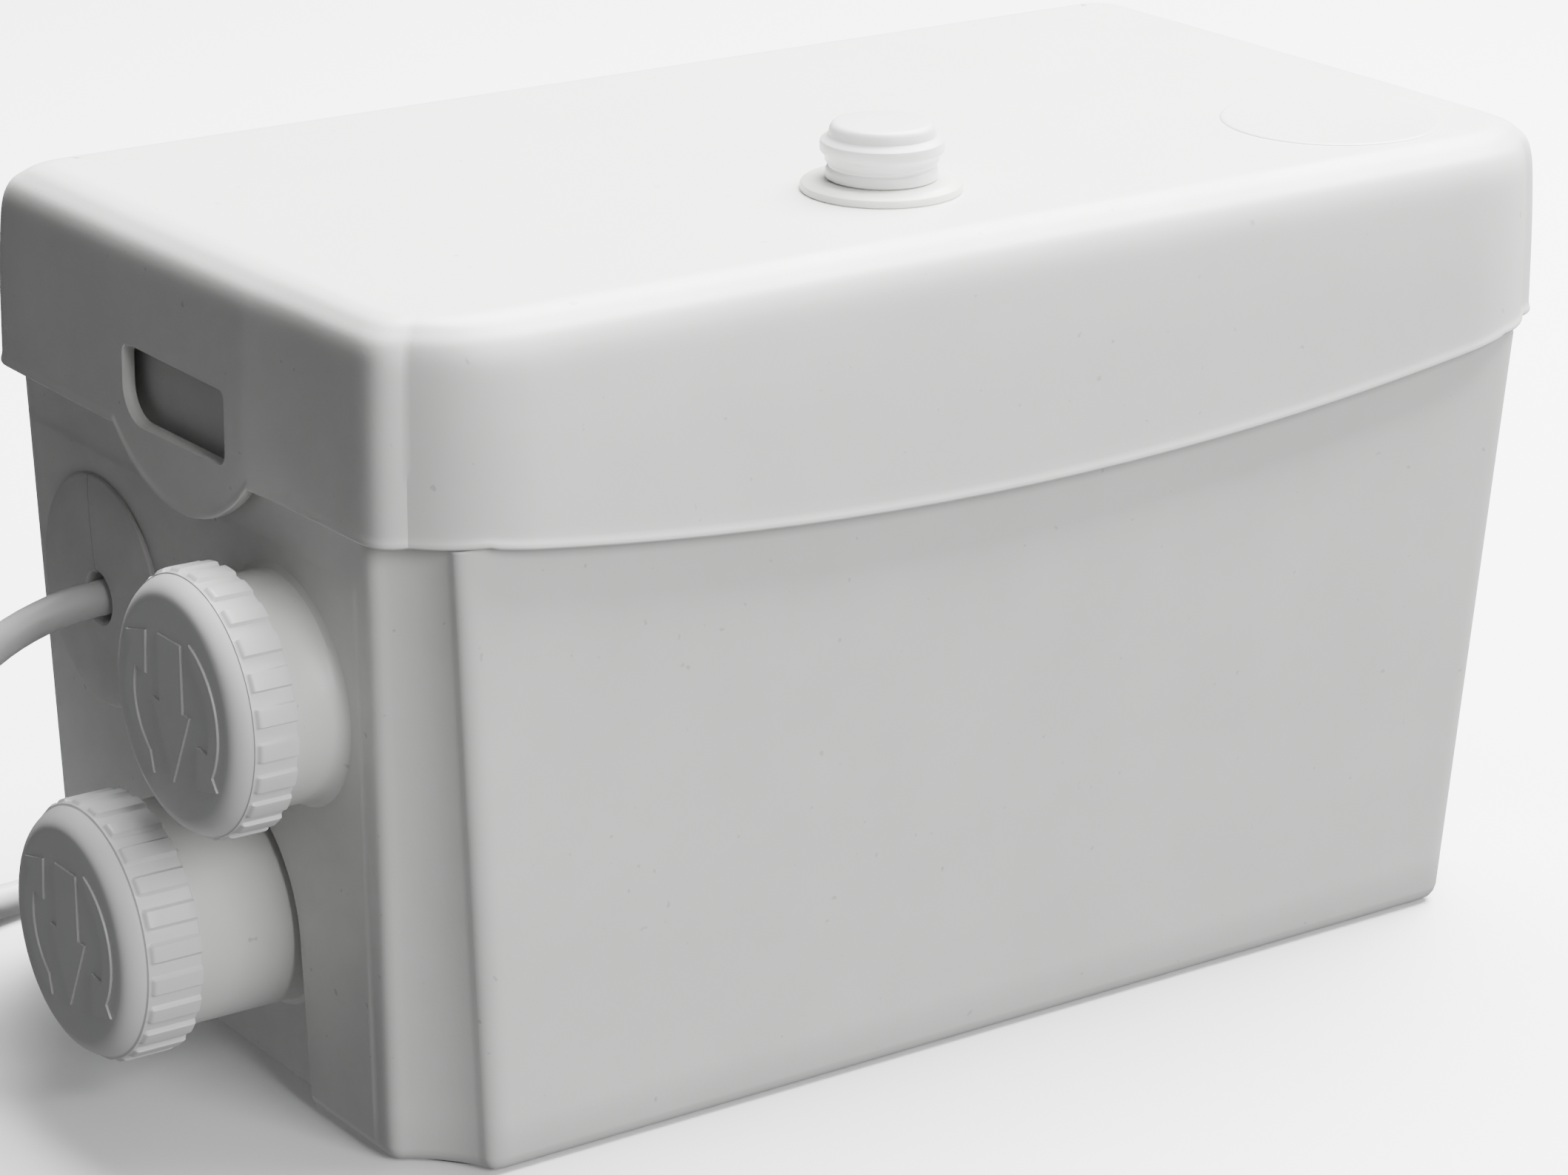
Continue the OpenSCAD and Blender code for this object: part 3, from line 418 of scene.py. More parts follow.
def window(sx):
    """Cutter for a grip slot, its mouth flared into a small bevel."""
    def ring(x, g):
        P = []
        y0, y1, z0, z1 = -17.8 - g, 22.3 + g, 137.0 - g, 152.2 + g
        P += arc_pts(y1 - 7.2 - g, z0 + 7.2 + g, 7.2 + g, 270, 360, 8)
        P += arc_pts(y1 - 1.6 - g, z1 - 1.6 - g, 1.6 + g, 0, 90, 4)
        P += arc_pts(y0 + 1.6 + g, z1 - 1.6 - g, 1.6 + g, 90, 180, 4)
        P += arc_pts(y0 + 2.6 + g, z0 + 2.6 + g, 2.6 + g, 180, 270, 5)
        return [(sx * (x - 0.0155 * max(0, min(45, 28 - p[0])) * 0 ), p[0], p[1]) for p in P]
    v, f = loft([ring(155, 3.2), ring(150.35, 1.0), ring(149.7, 0.45), ring(149.1, 0.05), ring(148.6, -0.1), ring(143, -0.1)], cap0=True, cap1=True)
    return obj_from("cut", v, f)


boolean(lid, [window(-1), window(1)])
# locating rib under the top, and the low round boss on top
rib_o = [(-144.6, -79.9, 144.6, 80.6, 20.2, 7.3), (-142.4, -77.7, 142.4, 78.4, 18.0, 5.1)]


def rr(x0, y0, x1, y1, rf, rb, n=9):
    P = corner(x1 - rb, y1 - rb, rb, 0, 90, n) + corner(x0 + rb, y1 - rb, rb, 90, 180, n) + corner(x0 + rf, y0 + rf, rf, 180, 270, n) + corner(x1 - rf, y0 + rf, rf, 270, 360, n)
    return P


def ring_wall(name, outer, inner, z0, z1):
    A = [(x, y, z0) for x, y in outer]
    B = [(x, y, z1) for x, y in outer]
    C = [(x, y, z1) for x, y in inner]
    D = [(x, y, z0) for x, y in inner]
    v, f = loft([A, B, C, D], closed_v=True)
    return obj_from(name, v, f, smooth=False)


rib = ring_wall("rib", rr(*rib_o[0]), rr(*rib_o[1]), 152.1, 171.2)
disc = lathe("disc", [(0.01, 177.6), (23.8, 177.6), (23.85, 178.12), (23.6, 178.3), (23.2, 178.36), (22.6, 178.34), (21.9, 178.3), (0.01, 178.3)], 160, (107, -47.6, 0))
lid = join("lid_shell", [lid, rib, disc])
shade(lid, 30)
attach(lid, "lid")
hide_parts("lid")

# ------------------------------------------------------------------ tank
SX0, SX1 = 139.2, 145.45
FY0, FY1 = 75.0, 80.7


def lerp(a, b, t):
    return a + (b - a) * t


def tank_half(t, kind):
    """kind 0: outer plan at height share t, with the hollow corner; 1: rim plan; 2: inner wall; 3: rim inside."""
    if kind == 0:
        hx, yf, yr, rb = lerp(SX0, SX1, t), lerp(FY0, FY1, t), 82.0, 7.0
        s1 = (-hx, lerp(-58.5, -66.0, t))
        s2 = (lerp(-124.6, -133.6, t), -yf)
        d = lerp(1.9, 2.1, t)
        ax, ay = s2[0] - s1[0], s2[1] - s1[1]
        L = math.hypot(ax, ay)
        nx, ny = -ay / L, ax / L
        flute = [(s1[0] + ax * q + nx * 4 * d * q * (1 - q), s1[1] + ay * q + ny * 4 * d * q * (1 - q)) for q in [i / 20 for i in range(21)]]
        P = seg((0, yr), (-hx + rb, yr), [i / 16 for i in range(16)])
        P += corner(-hx + rb, yr - rb, rb, 90, 180, 8)
        y0, y1 = yr - rb, s1[1] + 3.4
        P += seg((-hx, y0), (-hx, y1 + 3), [i / 20 for i in range(20)])
        P += seg((-hx, y1 + 3), (-hx, y1), [0, 0.2, 0.4, 0.6, 0.8])
        P += bez((-hx, y1), (s1[0], s1[1] + 1.0), (s1[0] + 0.25, s1[1] - 0.4), flute[3], 8)
        P += flute[3:17]
        e2 = (s2[0] + 4.2, -yf)
        P += bez(flute[17], (s2[0] - 1.0, s2[1] + 0.6), (s2[0] + 0.9, s2[1]), e2, 8)
        P += seg(e2, (0, -yf), [i / 16 for i in range(17)])
        return P
    x, yf, yr, rf, rb = ((144.9, 80.2, 80.2, 20.5, 7.6), (134.5, 69.8, 70.5, 12, 4), (141.9, 77.2, 77.9, 17.5, 4.6))[kind - 1]
    if kind == 4:
        x, yf, yr, rf, rb = lerp(SX0, SX1, t) - 3, lerp(FY0, FY1, t) - 3, 79.0, 14, 5
    P = seg((0, yr), (-x + rb, yr), [i / 16 for i in range(16)]) + corner(-x + rb, yr - rb, rb, 90, 180, 8)
    P += seg((-x, yr - rb), (-x, -yf + rf), [i / 25 for i in range(25)]) + corner(-x + rf, -yf + rf, rf, 180, 270, 30)
    return P + seg((-x + rf, -yf), (0, -yf), [i / 16 for i in range(17)])


def ringz(P, z, inset=0.0, cx=None):
    N = normals(P)
    out = []
    for (x, y), (nx, ny) in zip(P, N):
        out.append((x - nx * inset, y - ny * inset, z))
    return out


def inner_plan(t):
    x, yf, yr, rf, rb = lerp(SX0, SX1, t) - 3, lerp(FY0, FY1, t) - 3, 79.0, 31, 5
    P = seg((0, yr), (-x + rb, yr), [i / 16 for i in range(16)]) + corner(-x + rb, yr - rb, rb, 90, 180, 8)
    P += seg((-x, yr - rb), (-x, -yf + rf), [i / 25 for i in range(25)]) + corner(-x + rf, -yf + rf, rf, 180, 270, 30)
    return mirror(P + seg((-x + rf, -yf), (0, -yf), [i / 16 for i in range(17)]))


def outer_ring(z, inset=0.0):
    t = (z - 0) / 131.0
    ring = ringz(mirror(tank_half(t, 0)), z, inset)
    hx = lerp(SX0, SX1, t)
    # faint raised panel behind the hollow corner
    s1 = lerp(-58.5, -66.0, t) + 4.6
    out = []
    for x, y, zz in ring:
        k = min(1, max(0, (y - s1) / 0.9)) * min(1, max(0, (124.0 - z) / 1.6)) * min(1, max(0, (76 - y) / 1.5))
        if abs(x) > hx - 0.4:
            x -= math.copysign(0.0, x) - (-0.35 * k if x < 0 else 0.35 * k)
        out.append((x, y, zz))
    return out


rings = [outer_ring(0, 4.2), outer_ring(0.12, 3.2), outer_ring(0.5, 2.1), outer_ring(1.2, 1.1), outer_ring(2.3, 0.4), outer_ring(3.8, 0.0)]
rings += [outer_ring(z) for z in (12, 24, 36, 48, 60, 72, 84, 96, 108, 118, 122.2, 122.9, 123.6, 124.2, 128, 131, 133.6)]
rings.append(outer_ring(134.0, 0.35))
rings.append(ringz(mirror(tank_half(1, 1)), 134.0, 0.0))
rings += [ringz(mirror(tank_half(1, 1)), z, i) for z, i in ((149.3, 0), (149.8, 0.25), (150, 0.8))]
rings += [ringz(mirror(tank_half(1, 3)), z, i) for z, i in ((150, -0.6), (149.7, -0.15), (149.2, 0), (140.0, 0))]
rings += [ringz(mirror(tank_half(1, 2)), z, 0) for z in (140.0, 132)]
rings += [ringz(inner_plan(z / 131.0), z) for z in (124, 80, 40, 8)] + [ringz(inner_plan(3 / 131.0), 3.0, 3.0)]
v, f = loft(rings, cap0=True, cap1=True)
tank = obj_from("tank_shell", v, f)

LO_Y, LO_Z, UP_Y, UP_Z = -1.7, 39.2, -30.6, 94.7


def arch(g, n=40):
    """Arch outline in Y and Z, grown by g, with its feet below the floor."""
    r, c = 25.8 + g, LO_Y + 1.3
    P = [(c + r * math.cos(math.radians(a)), LO_Z + r * math.sin(math.radians(a))) for a in [180.0 * i / n for i in range(n + 1)]]
    P += [(c - r, z) for z in (34, 28, 22, 16, 10, 4, -4)]
    P += [(c + q * r, -4) for q in (-0.6, -0.2, 0.2, 0.6)]
    P += [(c + r, z) for z in (-4, 4, 10, 16, 22, 28, 34)]
    return P


def wall_x(z):
    return -lerp(SX0, SX1, z / 131.0) - 0.35


def arch_ring(g, depth=None, x=None):
    return [((wall_x(z) + depth) if x is None else x, y, z) for y, z in arch(g)]


v, f = loft([arch_ring(3.0, 1.4), arch_ring(3.0, x=-130.5)], cap0=True, cap1=True)
keep = [(x, y, max(z, 0.6)) for x, y, z in v]
island = obj_from("island", keep, f)
boolean(tank, [island], "UNION")
v, f = loft([arch_ring(9, -6), arch_ring(3.4, -0.3), arch_ring(2.3, 0.0), arch_ring(1.35, 0.35), arch_ring(0.6, 0.95), arch_ring(0.15, 1.7), arch_ring(0, 2.4),
             arch_ring(0, x=-134.8), arch_ring(-0.4, x=-134.0), arch_ring(-1.4, x=-133.5)], cap0=True, cap1=True)
boolean(tank, [obj_from("cut", v, f)])


def xcut(x0, x1, y, z, r):
    return lathe("cut", [(0.01, x0), (r, x0), (r, x1), (0.01, x1)], 96, (0, y, z), "X")


boolean(tank, [xcut(-150, -120, UP_Y, UP_Z, 20), xcut(-150, -120, LO_Y, LO_Z, 20), xcut(-152, -128, 42.5, 92, 8.7), xcut(128, 152, 30, 106, 17.2)])


def neck(x_end, x_wall, y, z, crests, deep=2.2):
    """Inlet neck with a soft foot at the wall; h runs towards -X."""
    e, w = -x_end, -x_wall
    P = [(20.0, w - 4), (20.0, e - 0.8), (20.6, e), (22.8, e), (23.45, e - 0.7)]
    for k in range(crests):
        h = e - 2.4 - 4.5 * k
        P += [(23.45, h + 1.3), (23.72, h + 0.7), (23.72, h - 0.3), (23.45, h - 0.9)]
    P += [(23.45, w + 7), (23.5, w + deep + 0.6), (23.75, w + deep * 0.6), (24.3, w + deep * 0.25), (25.2, w - 0.1), (26.2, w - 0.35), (26.2, w - 3.4)]
    prof = P
    rings = []
    for r, h in prof:
        rings.append([(-h, y + r * math.cos(2 * math.pi * k / 128), z + r * math.sin(2 * math.pi * k / 128)) for k in range(128)])
    v, f = loft(rings, closed_v=True)
    ob = obj_from("neck", v, f)
    return ob


def tilt(ob, y, z, x_wall):
    """Leans the foot of a neck with the sloped wall."""
    for q in ob.data.vertices:
        h = -q.co.x / MM - (-x_wall)
        if h < 2.6:
            k = min(1.0, (2.6 - h) / 2.6)
            q.co.x -= (q.co.z / MM - z) * 0.0477 * k * MM
    return ob


UPN = tilt(neck(-164.9, wall_x(UP_Z), UP_Y, UP_Z, 2), UP_Y, UP_Z, wall_x(UP_Z))
LON = neck(-175.1, -133.5, LO_Y, LO_Z, 3, 1.6)
seat = lathe("seat", [(8.7, 137), (24.6, 137), (24.6, 144.3), (24.4, 144.8), (24.0, 145.0), (9.2, 145.0), (8.7, 144.6), (8.7, 137)], 96, (0, 45, 92.6), "-X")
tank = join("tank_shell", [tank, UPN, LON, seat])
shade(tank, 32)
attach(tank, ROOT)
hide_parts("tank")


# ------------------------------------------------------------------ screw caps
def rib_wave(a, count, duty=0.54, soft=0.10):
    t = (a * count / (2 * math.pi)) % 1.0
    t = abs(t - 0.5) * 2
    e = (duty - t) / soft
    e = min(1, max(0, e + 0.5))
    return e * e * (3 - 2 * e)


def cap_mesh(name, y, z, rim, t, rib_l, round_l, turn):
    """Screw cap, h runs towards -X from the rear rim."""
    R0, H, A = 26.35, 0.85, 4.9
    n = 24 * 20
    prof = [(0.01, t - 2.5, 0), (22.4, t - 2.5, 0), (23.6, t - 3.1, 0), (23.85, t - 4.2, 0), (23.85, 1.2, 0), (24.2, 0.35, 0), (24.9, 0.0, 0), (R0 - 0.5, 0.0, 0.3), (R0 - 0.05, 0.3, 0.8),
            (R0, 0.75, 1.0)]
    for q in (0.15, 0.3, 0.5, 0.7, 0.85):
        prof.append((R0, 0.75 + (rib_l - 1.9) * q, 1.0))
    prof += [(R0, rib_l - 0.9, 1.0), (R0, rib_l - 0.45, 0.93), (R0, rib_l - 0.12, 0.72), (R0, rib_l + 0.14, 0.35), (R0, rib_l + 0.4, 0.08), (R0, rib_l + 0.75, 0.0)]
    side = t - round_l
    if side > rib_l + 1.2:
        prof.append((R0, side, 0))
    for i in range(1, 19):
        a = math.radians(5 * i)
        r, h = R0 - A * (1 - math.cos(a)), t - round_l * (1 - math.sin(a))
        if h > prof[-1][1] + 0.05:
            prof.append((r, h, 0))
    prof += [(R0 - A - 0.8, t, 0), (R0 - A - 3, t, 0), (12, t, 0), (6, t, 0), (0.01, t, 0)]
    rings = []
    for r, h, w in prof:
        ring = []
        for k in range(n):
            a = 2 * math.pi * k / n
            q = r + (H * w * rib_wave(a + turn, 24) if w else 0)
            # the rounded shoulder pulls the rib's front end in
            ring.append((rim - h, y + q * math.cos(a), z + q * math.sin(a)))
        rings.append(ring)
    v, f = loft(rings, cap0=True, cap1=True)
    ob = obj_from(name, v, f)
    return ob


def plate(x, y, z, P, hgt=0.42):
    """Low raised figure on a cap's face."""
    n = len(P)
    cx, cy = sum(p[0] for p in P) / n, sum(p[1] for p in P) / n
    N = normals(P)
    s = 1 if sum(P[i][0] * P[(i + 1) % n][1] - P[(i + 1) % n][0] * P[i][1] for i in range(n)) > 0 else -1

    def r(off, h):
        return [(x - h, y + p[0] + s * q[0] * off, z + p[1] + s * q[1] * off) for p, q in zip(P, N)]
    v, f = loft([r(0.16, -0.6), r(0.16, 0.0), r(0.08, hgt * 0.75), r(-0.06, hgt), r(-0.3, hgt)], cap0=True, cap1=True)
    return obj_from("fig", v, f, smooth=False)


def arrows(x, y, z):
    """A straight arrow between two curved ones; first number towards the rear, second up."""
    out = []
    st = [(4.6, 14.4), (4.6, 0.4), (7.4, 0.4), (0.0, -15.0), (-7.4, 0.4), (-4.6, 0.4), (-4.6, 14.4)]
    out.append(plate(x, y, z, st))

    def curved(s):
        O = [(16.9 * math.cos(math.radians(a)), 18.3 * math.sin(math.radians(a))) for a in [128 - 4 * i for i in range(0, 33)]]
        I = [(13.2 * math.cos(math.radians(a)), 15.6 * math.sin(math.radians(a))) for a in [-14 + 4 * i for i in range(0, 30)]]
        P = [(-18.0 + 0.0, 0)]
        outer = [(-18.6 * math.cos(math.radians(a)), 17.4 * math.sin(math.radians(a))) for a in range(64, -33, -4)]
        inner = [(-15.2 * math.cos(math.radians(a)), 14.4 * math.sin(math.radians(a))) for a in range(-20, 55, 4)]
        head = [(-17.6, -11.6), (-9.6, -13.6), (-10.2, -4.6)]
        P = outer + head + inner
        return [(s * p[0], s * p[1]) for p in P]
    out.append(plate(x, y, z, curved(1)))
    out.append(plate(x, y, z, curved(-1)))
    return out


for nm, y, z, rim, t, rl, rd, turn, body in (("upper_cap_skin", UP_Y, UP_Z, -156.2, 13.2, 8.8, 5.4, 0.065, "upper_cap"), ("lower_cap_skin", LO_Y, LO_Z, -163.3, 16.3, 11.4, 6.8, 0.02, "lower_cap")):
    c = cap_mesh(nm, y, z, rim, t, rl, rd, turn)
    c = join(nm, [c] + arrows(rim - t, y, z))
    shade(c, 34)
    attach(c, body)
    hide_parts(body)

# ------------------------------------------------------------------ vent
VX, VY = -9.0, -42.0
collar = lathe("vent_flange", [(9.6, 170.6), (12.0, 170.6), (12.1, 178.0), (16.5, 178.0), (16.75, 178.25), (16.75, 179.2), (16.55, 179.6), (16.0, 179.95), (15.0, 180.3), (14.6, 180.45), (9.8, 180.45), (9.6, 180.3)], 160, (VX, VY, 0))
v_prof = [(0.01, 173), (8.2, 173), (8.6, 173.4), (9.5, 174.6), (9.5, 180.55), (11.2, 180.55), (11.6, 180.8), (11.6, 182.3), (11.35, 182.8), (11.0, 183.05), (11.0, 183.5), (11.35, 183.8),
          (11.7, 184.2), (11.7, 185.0), (11.9, 185.5), (12.4, 185.9), (12.75, 186.35), (12.8, 186.8), (12.8, 187.9), (12.65, 188.4), (12.2, 188.8), (11.5, 189.1), (11.1, 189.5), (10.95, 190.3),
          (10.8, 191.0), (10.45, 191.6), (9.9, 191.95), (9.2, 192.1), (4, 192.12), (0.01, 192.12)]
vplug = lathe("vent_cap", v_prof, 160, (VX, VY, 0))
for ob, body, node, sl in ((collar, "lid", "vent_collar", "vent_plastic"), (vplug, "vent_plug", "vent_plug", "cap_white")):
    shade(ob, 30)
    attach(ob, body)
    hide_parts(node)

# ------------------------------------------------------------------ cable entry
def grommet_mesh():
    P = [(0.01, 141.9), (24.2, 141.9), (24.6, 144.9), (25.0, 145.1), (25.0, 145.6), (24.8, 145.95), (24.3, 146.15), (23.7, 146.2), (23.3, 146.3), (21, 146.6), (16, 147.1), (10, 147.45), (5, 147.6), (0.01, 147.65)]
    g = lathe("cable_disc", P, 160, (0, 45, 92.6), "-X")
    tail = lathe("neck2", [(0.01, 128.4), (9.6, 128.4), (10.0, 128.8), (10.0, 130.3), (9.6, 130.7), (8.5, 131.0), (8.5, 142.2), (0.01, 142.2)], 96, (0, 42.5, 92), "-X")
    boolean(g, [tail], "UNION")
    hole = lathe("cut", [(0.01, 120), (5.2, 120), (5.2, 145.8), (5.4, 146.8), (5.8, 147.4), (6.3, 147.8), (6.3, 160), (0.01, 160)], 96, (0, 42.5, 92), "-X")
    a, b = Vector((0, 43.2, 96.0)), Vector((0, 49.0, 119.5))
    d = (b - a).normalized()
    w = Vector((0, -d.z, d.y)) * 0.12
    v = []
    for x in (-145.3, -160):
        for p in (a + w, b + w, b - w, a - w):
            v.append((x, p.y, p.z))
    slit = obj_from("cut", v, [(0, 1, 2, 3), (7, 6, 5, 4), (0, 4, 5, 1), (1, 5, 6, 2), (2, 6, 7, 3), (3, 7, 4, 0)], False)
    boolean(g, [hole, slit])
    return g


gr = grommet_mesh()
shade(gr, 28)
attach(gr, ROOT)
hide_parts("cable_grommet")

# ------------------------------------------------------------------ plug and tie of the mains lead
PX, PY, PZ = 92.0, 102.0, 18.0
prof = [(3.8, 0.0), (4.9, 0.0), (5.3, 0.5)]
for k in range(6):
    h = 1.6 + 3.6 * k
    r = 5.4 + 0.36 * k
    prof += [(r, h), (r + 0.05, h + 1.5), (r - 0.95, h + 1.9), (r - 0.9, h + 3.1)]
prof += [(7.6, 23.4), (8.2, 24.2), (9.6, 25.4), (11.4, 27.0), (13.6, 28.8), (15.4, 30.9), (16.7, 33.6), (17.5, 37), (17.9, 41), (18.0, 45), (18.0, 59.2), (17.8, 60.2), (17.1, 60.9), (16.6, 61.0), (0.01, 61.0)]
plug = lathe("mains_plug", [(0.01, 0.0)] + prof, 128, (PX, PY, PZ), "X")
cuts = []
for s in (-1, 1):
    v = []
    for x in (PX + 40, PX + 70):
        for y, z in ((PY + s * 16.1, PZ - 9), (PY + s * 16.1, PZ + 9), (PY + s * 22, PZ + 12), (PY + s * 22, PZ - 12)):
            v.append((x, y, z))
    cuts.append(obj_from("cut", v, [(3, 2, 1, 0), (4, 5, 6, 7), (0, 1, 5, 4), (1, 2, 6, 5), (2, 3, 7, 6), (3, 0, 4, 7)], False))
for y in (-9.5, 9.5):
    cuts.append(lathe("cut", [(0.01, 58.0), (2.5, 58.0), (2.5, 60.4), (3.1, 61.2), (3.1, 64), (0.01, 64)], 48, (PX, PY + y, PZ), "X"))
boolean(plug, cuts)
bevel(plug, 0.35, 2, 40)
shade(plug, 32)
pins = []
for y in (-9.5, 9.5):
    pins.append(lathe("pin", [(0.01, 52), (2.4, 52), (2.4, 77.6), (2.3, 78.4), (1.9, 79.2), (1.2, 79.7), (0.01, 79.8)], 48, (PX, PY + y, PZ), "X"))
pins = join("plug_contacts", pins)
shade(pins, 30)
for ob, nodes, sl in ((plug, "plug_body", "plug_white"), (pins, "plug_pins", "brass_pins")):
    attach(ob, ROOT)
    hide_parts(nodes)


def tie_mesh():
    """Flat strap round the three turns of the coil, with its lock."""
    a = math.radians(-90 + 100)
    u = Vector((math.cos(a), math.sin(a), 0))
    t = Vector((-math.sin(a), math.cos(a), 0))
    o = Vector((CO[0], CO[1], 0))
    loop = []
    r0, r1, z0, z1, c = 32.2, 47.8, 0.45, 15.4, 3.4
    for cx, cz, a0 in ((r1 - c, z1 - c, 0), (r0 + c, z1 - c, 90), (r0 + c, z0 + c, 180), (r1 - c, z0 + c, 270)):
        for i in range(9):
            q = math.radians(a0 + 90 * i / 8)
            loop.append((cx + c * math.cos(q), cz + c * math.sin(q), math.cos(q), math.sin(q)))
    rings = []
    for off, w in ((0.0, -1.6), (0.45, -1.3), (0.45, 1.3), (0.0, 1.6), (-0.4, 1.3), (-0.4, -1.3)):
        rings.append([tuple(o + u * (p[0] + p[2] * off) + t * w + Vector((0, 0, max(0.02, p[1] + p[3] * off)))) for p in loop])
    v, f = loft(rings, closed_v=True)
    strap = obj_from("strap", v, f)
    B = []
    for w in (-2.4, 2.4):
        for rr_, zz in ((r1 + 0.1, 7.0), (r1 + 2.6, 7.4), (r1 + 2.6, 11.2), (r1 + 0.1, 11.6)):
            B.append(tuple(o + u * rr_ + t * w + Vector((0, 0, zz))))
    lock = obj_from("lock", B, [(3, 2, 1, 0), (4, 5, 6, 7), (0, 1, 5, 4), (1, 2, 6, 5), (2, 3, 7, 6), (3, 0, 4, 7)], False)
    bevel(lock, 0.5, 3, 40)
    E = []
    for w in (-1.25, 1.25):
        for rr_, zz in ((r1 + 0.9, 11.2), (r1 + 1.7, 11.2), (r1 + 2.9, 16.2), (r1 + 2.1, 16.4)):
            E.append(tuple(o + u * rr_ + t * w + Vector((0, 0, zz))))
    end = obj_from("end", E, [(3, 2, 1, 0), (4, 5, 6, 7), (0, 1, 5, 4), (1, 2, 6, 5), (2, 3, 7, 6), (3, 0, 4, 7)], False)
    return join("lead_tie", [strap, lock, end])


tie = tie_mesh()
shade(tie, 35)
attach(tie, ROOT)


# ------------------------------------------------------------------ materials
def nodes_of(name):
    m = bpy.data.materials.new(name)
    m.use_nodes = True
    nt = m.node_tree
    return m, nt, nt.nodes["Principled BSDF"]


def coords(nt, scale):
    tc = nt.nodes.new("ShaderNodeTexCoord")
    mp = nt.nodes.new("ShaderNodeMapping")
    mp.inputs["Scale"].default_value = scale
    nt.links.new(tc.outputs["Object"], mp.inputs["Vector"])
    return mp.outputs["Vector"]


def noise(nt, vec, scale, detail=4.0, rough=0.5):
    n = nt.nodes.new("ShaderNodeTexNoise")
    n.inputs["Scale"].default_value = scale
    n.inputs["Detail"].default_value = detail
    n.inputs["Roughness"].default_value = rough
    nt.links.new(vec, n.inputs["Vector"])
    return n.outputs["Fac"]


def rng(nt, val, a, b, lo=0.3, hi=0.7):
    r = nt.nodes.new("ShaderNodeMapRange")
    for k, x in (("From Min", lo), ("From Max", hi), ("To Min", a), ("To Max", b)):
        r.inputs[k].default_value = x
    nt.links.new(val, r.inputs["Value"])
    return r.outputs["Result"]


def mixc(nt, fac, a, b):
    m = nt.nodes.new("ShaderNodeMix")
    m.data_type = "RGBA"
    m.inputs[6].default_value = (*a, 1)
    m.inputs[7].default_value = (*b, 1)
    nt.links.new(fac, m.inputs[0])
    return m.outputs[2]


def bumps(nt, bsdf, parts):
    """parts: (height value, distance in metres, strength)"""
    last = None
    for val, dist, st in parts:
        b = nt.nodes.new("ShaderNodeBump")
        b.inputs["Distance"].default_value = dist
        b.inputs["Strength"].default_value = st
        nt.links.new(val, b.inputs["Height"])
        if last is not None:
            nt.links.new(last, b.inputs["Normal"])
        last = b.outputs["Normal"]
    nt.links.new(last, bsdf.inputs["Normal"])


def moulded(name, base, base2, r0, r1, grain=0.00003, wave=0.00018, sss=0.0, coat=0.0, dust=None, fine=900.0):
    """Injection-moulded plastic: a fine spark grain, slow waviness, cloudy gloss and a trace of dust in places."""
    m, nt, b = nodes_of(name)
    vec = coords(nt, (1, 1, 1))
    slow = noise(nt, vec, 9.0, 3.0)
    cloud = noise(nt, vec, 38.0, 6.0, 0.6)
    g = noise(nt, vec, fine, 2.0)
    col = mixc(nt, rng(nt, cloud, 0, 1, 0.35, 0.7), base, base2)
    if dust:
        mm = nt.nodes.new("ShaderNodeMix")
        mm.data_type = "RGBA"
        speck = noise(nt, vec, 420.0, 1.0)
        nt.links.new(rng(nt, speck, 0.0, 0.55, 0.755, 0.80), mm.inputs[0])
        nt.links.new(col, mm.inputs[6])
        mm.inputs[7].default_value = (*dust, 1)
        col = mm.outputs[2]
    nt.links.new(col, b.inputs["Base Color"])
    nt.links.new(rng(nt, cloud, r0, r1), b.inputs["Roughness"])
    b.inputs["IOR"].default_value = 1.49
    if sss:
        b.inputs["Subsurface Weight"].default_value = sss
        b.inputs["Subsurface Scale"].default_value = 0.004
        b.inputs["Subsurface Radius"].default_value = (1.0, 0.95, 0.85)
    if coat:
        b.inputs["Coat Weight"].default_value = coat
        b.inputs["Coat Roughness"].default_value = 0.25
    bumps(nt, b, [(slow, wave, 0.5), (g, grain, 0.6)])
    return m


def rubber(name, base, base2, r0=0.5, r1=0.72):
    m, nt, b = nodes_of(name)
    vec = coords(nt, (1, 1, 1))
    cloud = noise(nt, vec, 60.0, 6.0, 0.65)
    g = noise(nt, vec, 1500.0, 2.0)
    nt.links.new(mixc(nt, rng(nt, cloud, 0, 1), base, base2), b.inputs["Base Color"])
    nt.links.new(rng(nt, cloud, r0, r1), b.inputs["Roughness"])
    b.inputs["Specular IOR Level"].default_value = 0.42
    b.inputs["Sheen Weight"].default_value = 0.12
    b.inputs["Sheen Roughness"].default_value = 0.5
    bumps(nt, b, [(cloud, 0.00012, 0.4), (g, 0.00004, 0.6)])
    return m


def metal(name, base, base2, r0, r1, streak=(1, 1, 40), aniso=0.0, grain=0.00002):
    m, nt, b = nodes_of(name)
    cloud = noise(nt, coords(nt, (1, 1, 1)), 55.0, 6.0, 0.6)
    lines = noise(nt, coords(nt, streak), 90.0, 3.0)
    nt.links.new(mixc(nt, rng(nt, cloud, 0, 1), base, base2), b.inputs["Base Color"])
    b.inputs["Metallic"].default_value = 1.0
    nt.links.new(rng(nt, lines, r0, r1), b.inputs["Roughness"])
    if aniso:
        b.inputs["Anisotropic"].default_value = aniso
    bumps(nt, b, [(lines, grain, 0.5), (cloud, 0.00005, 0.3)])
    return m


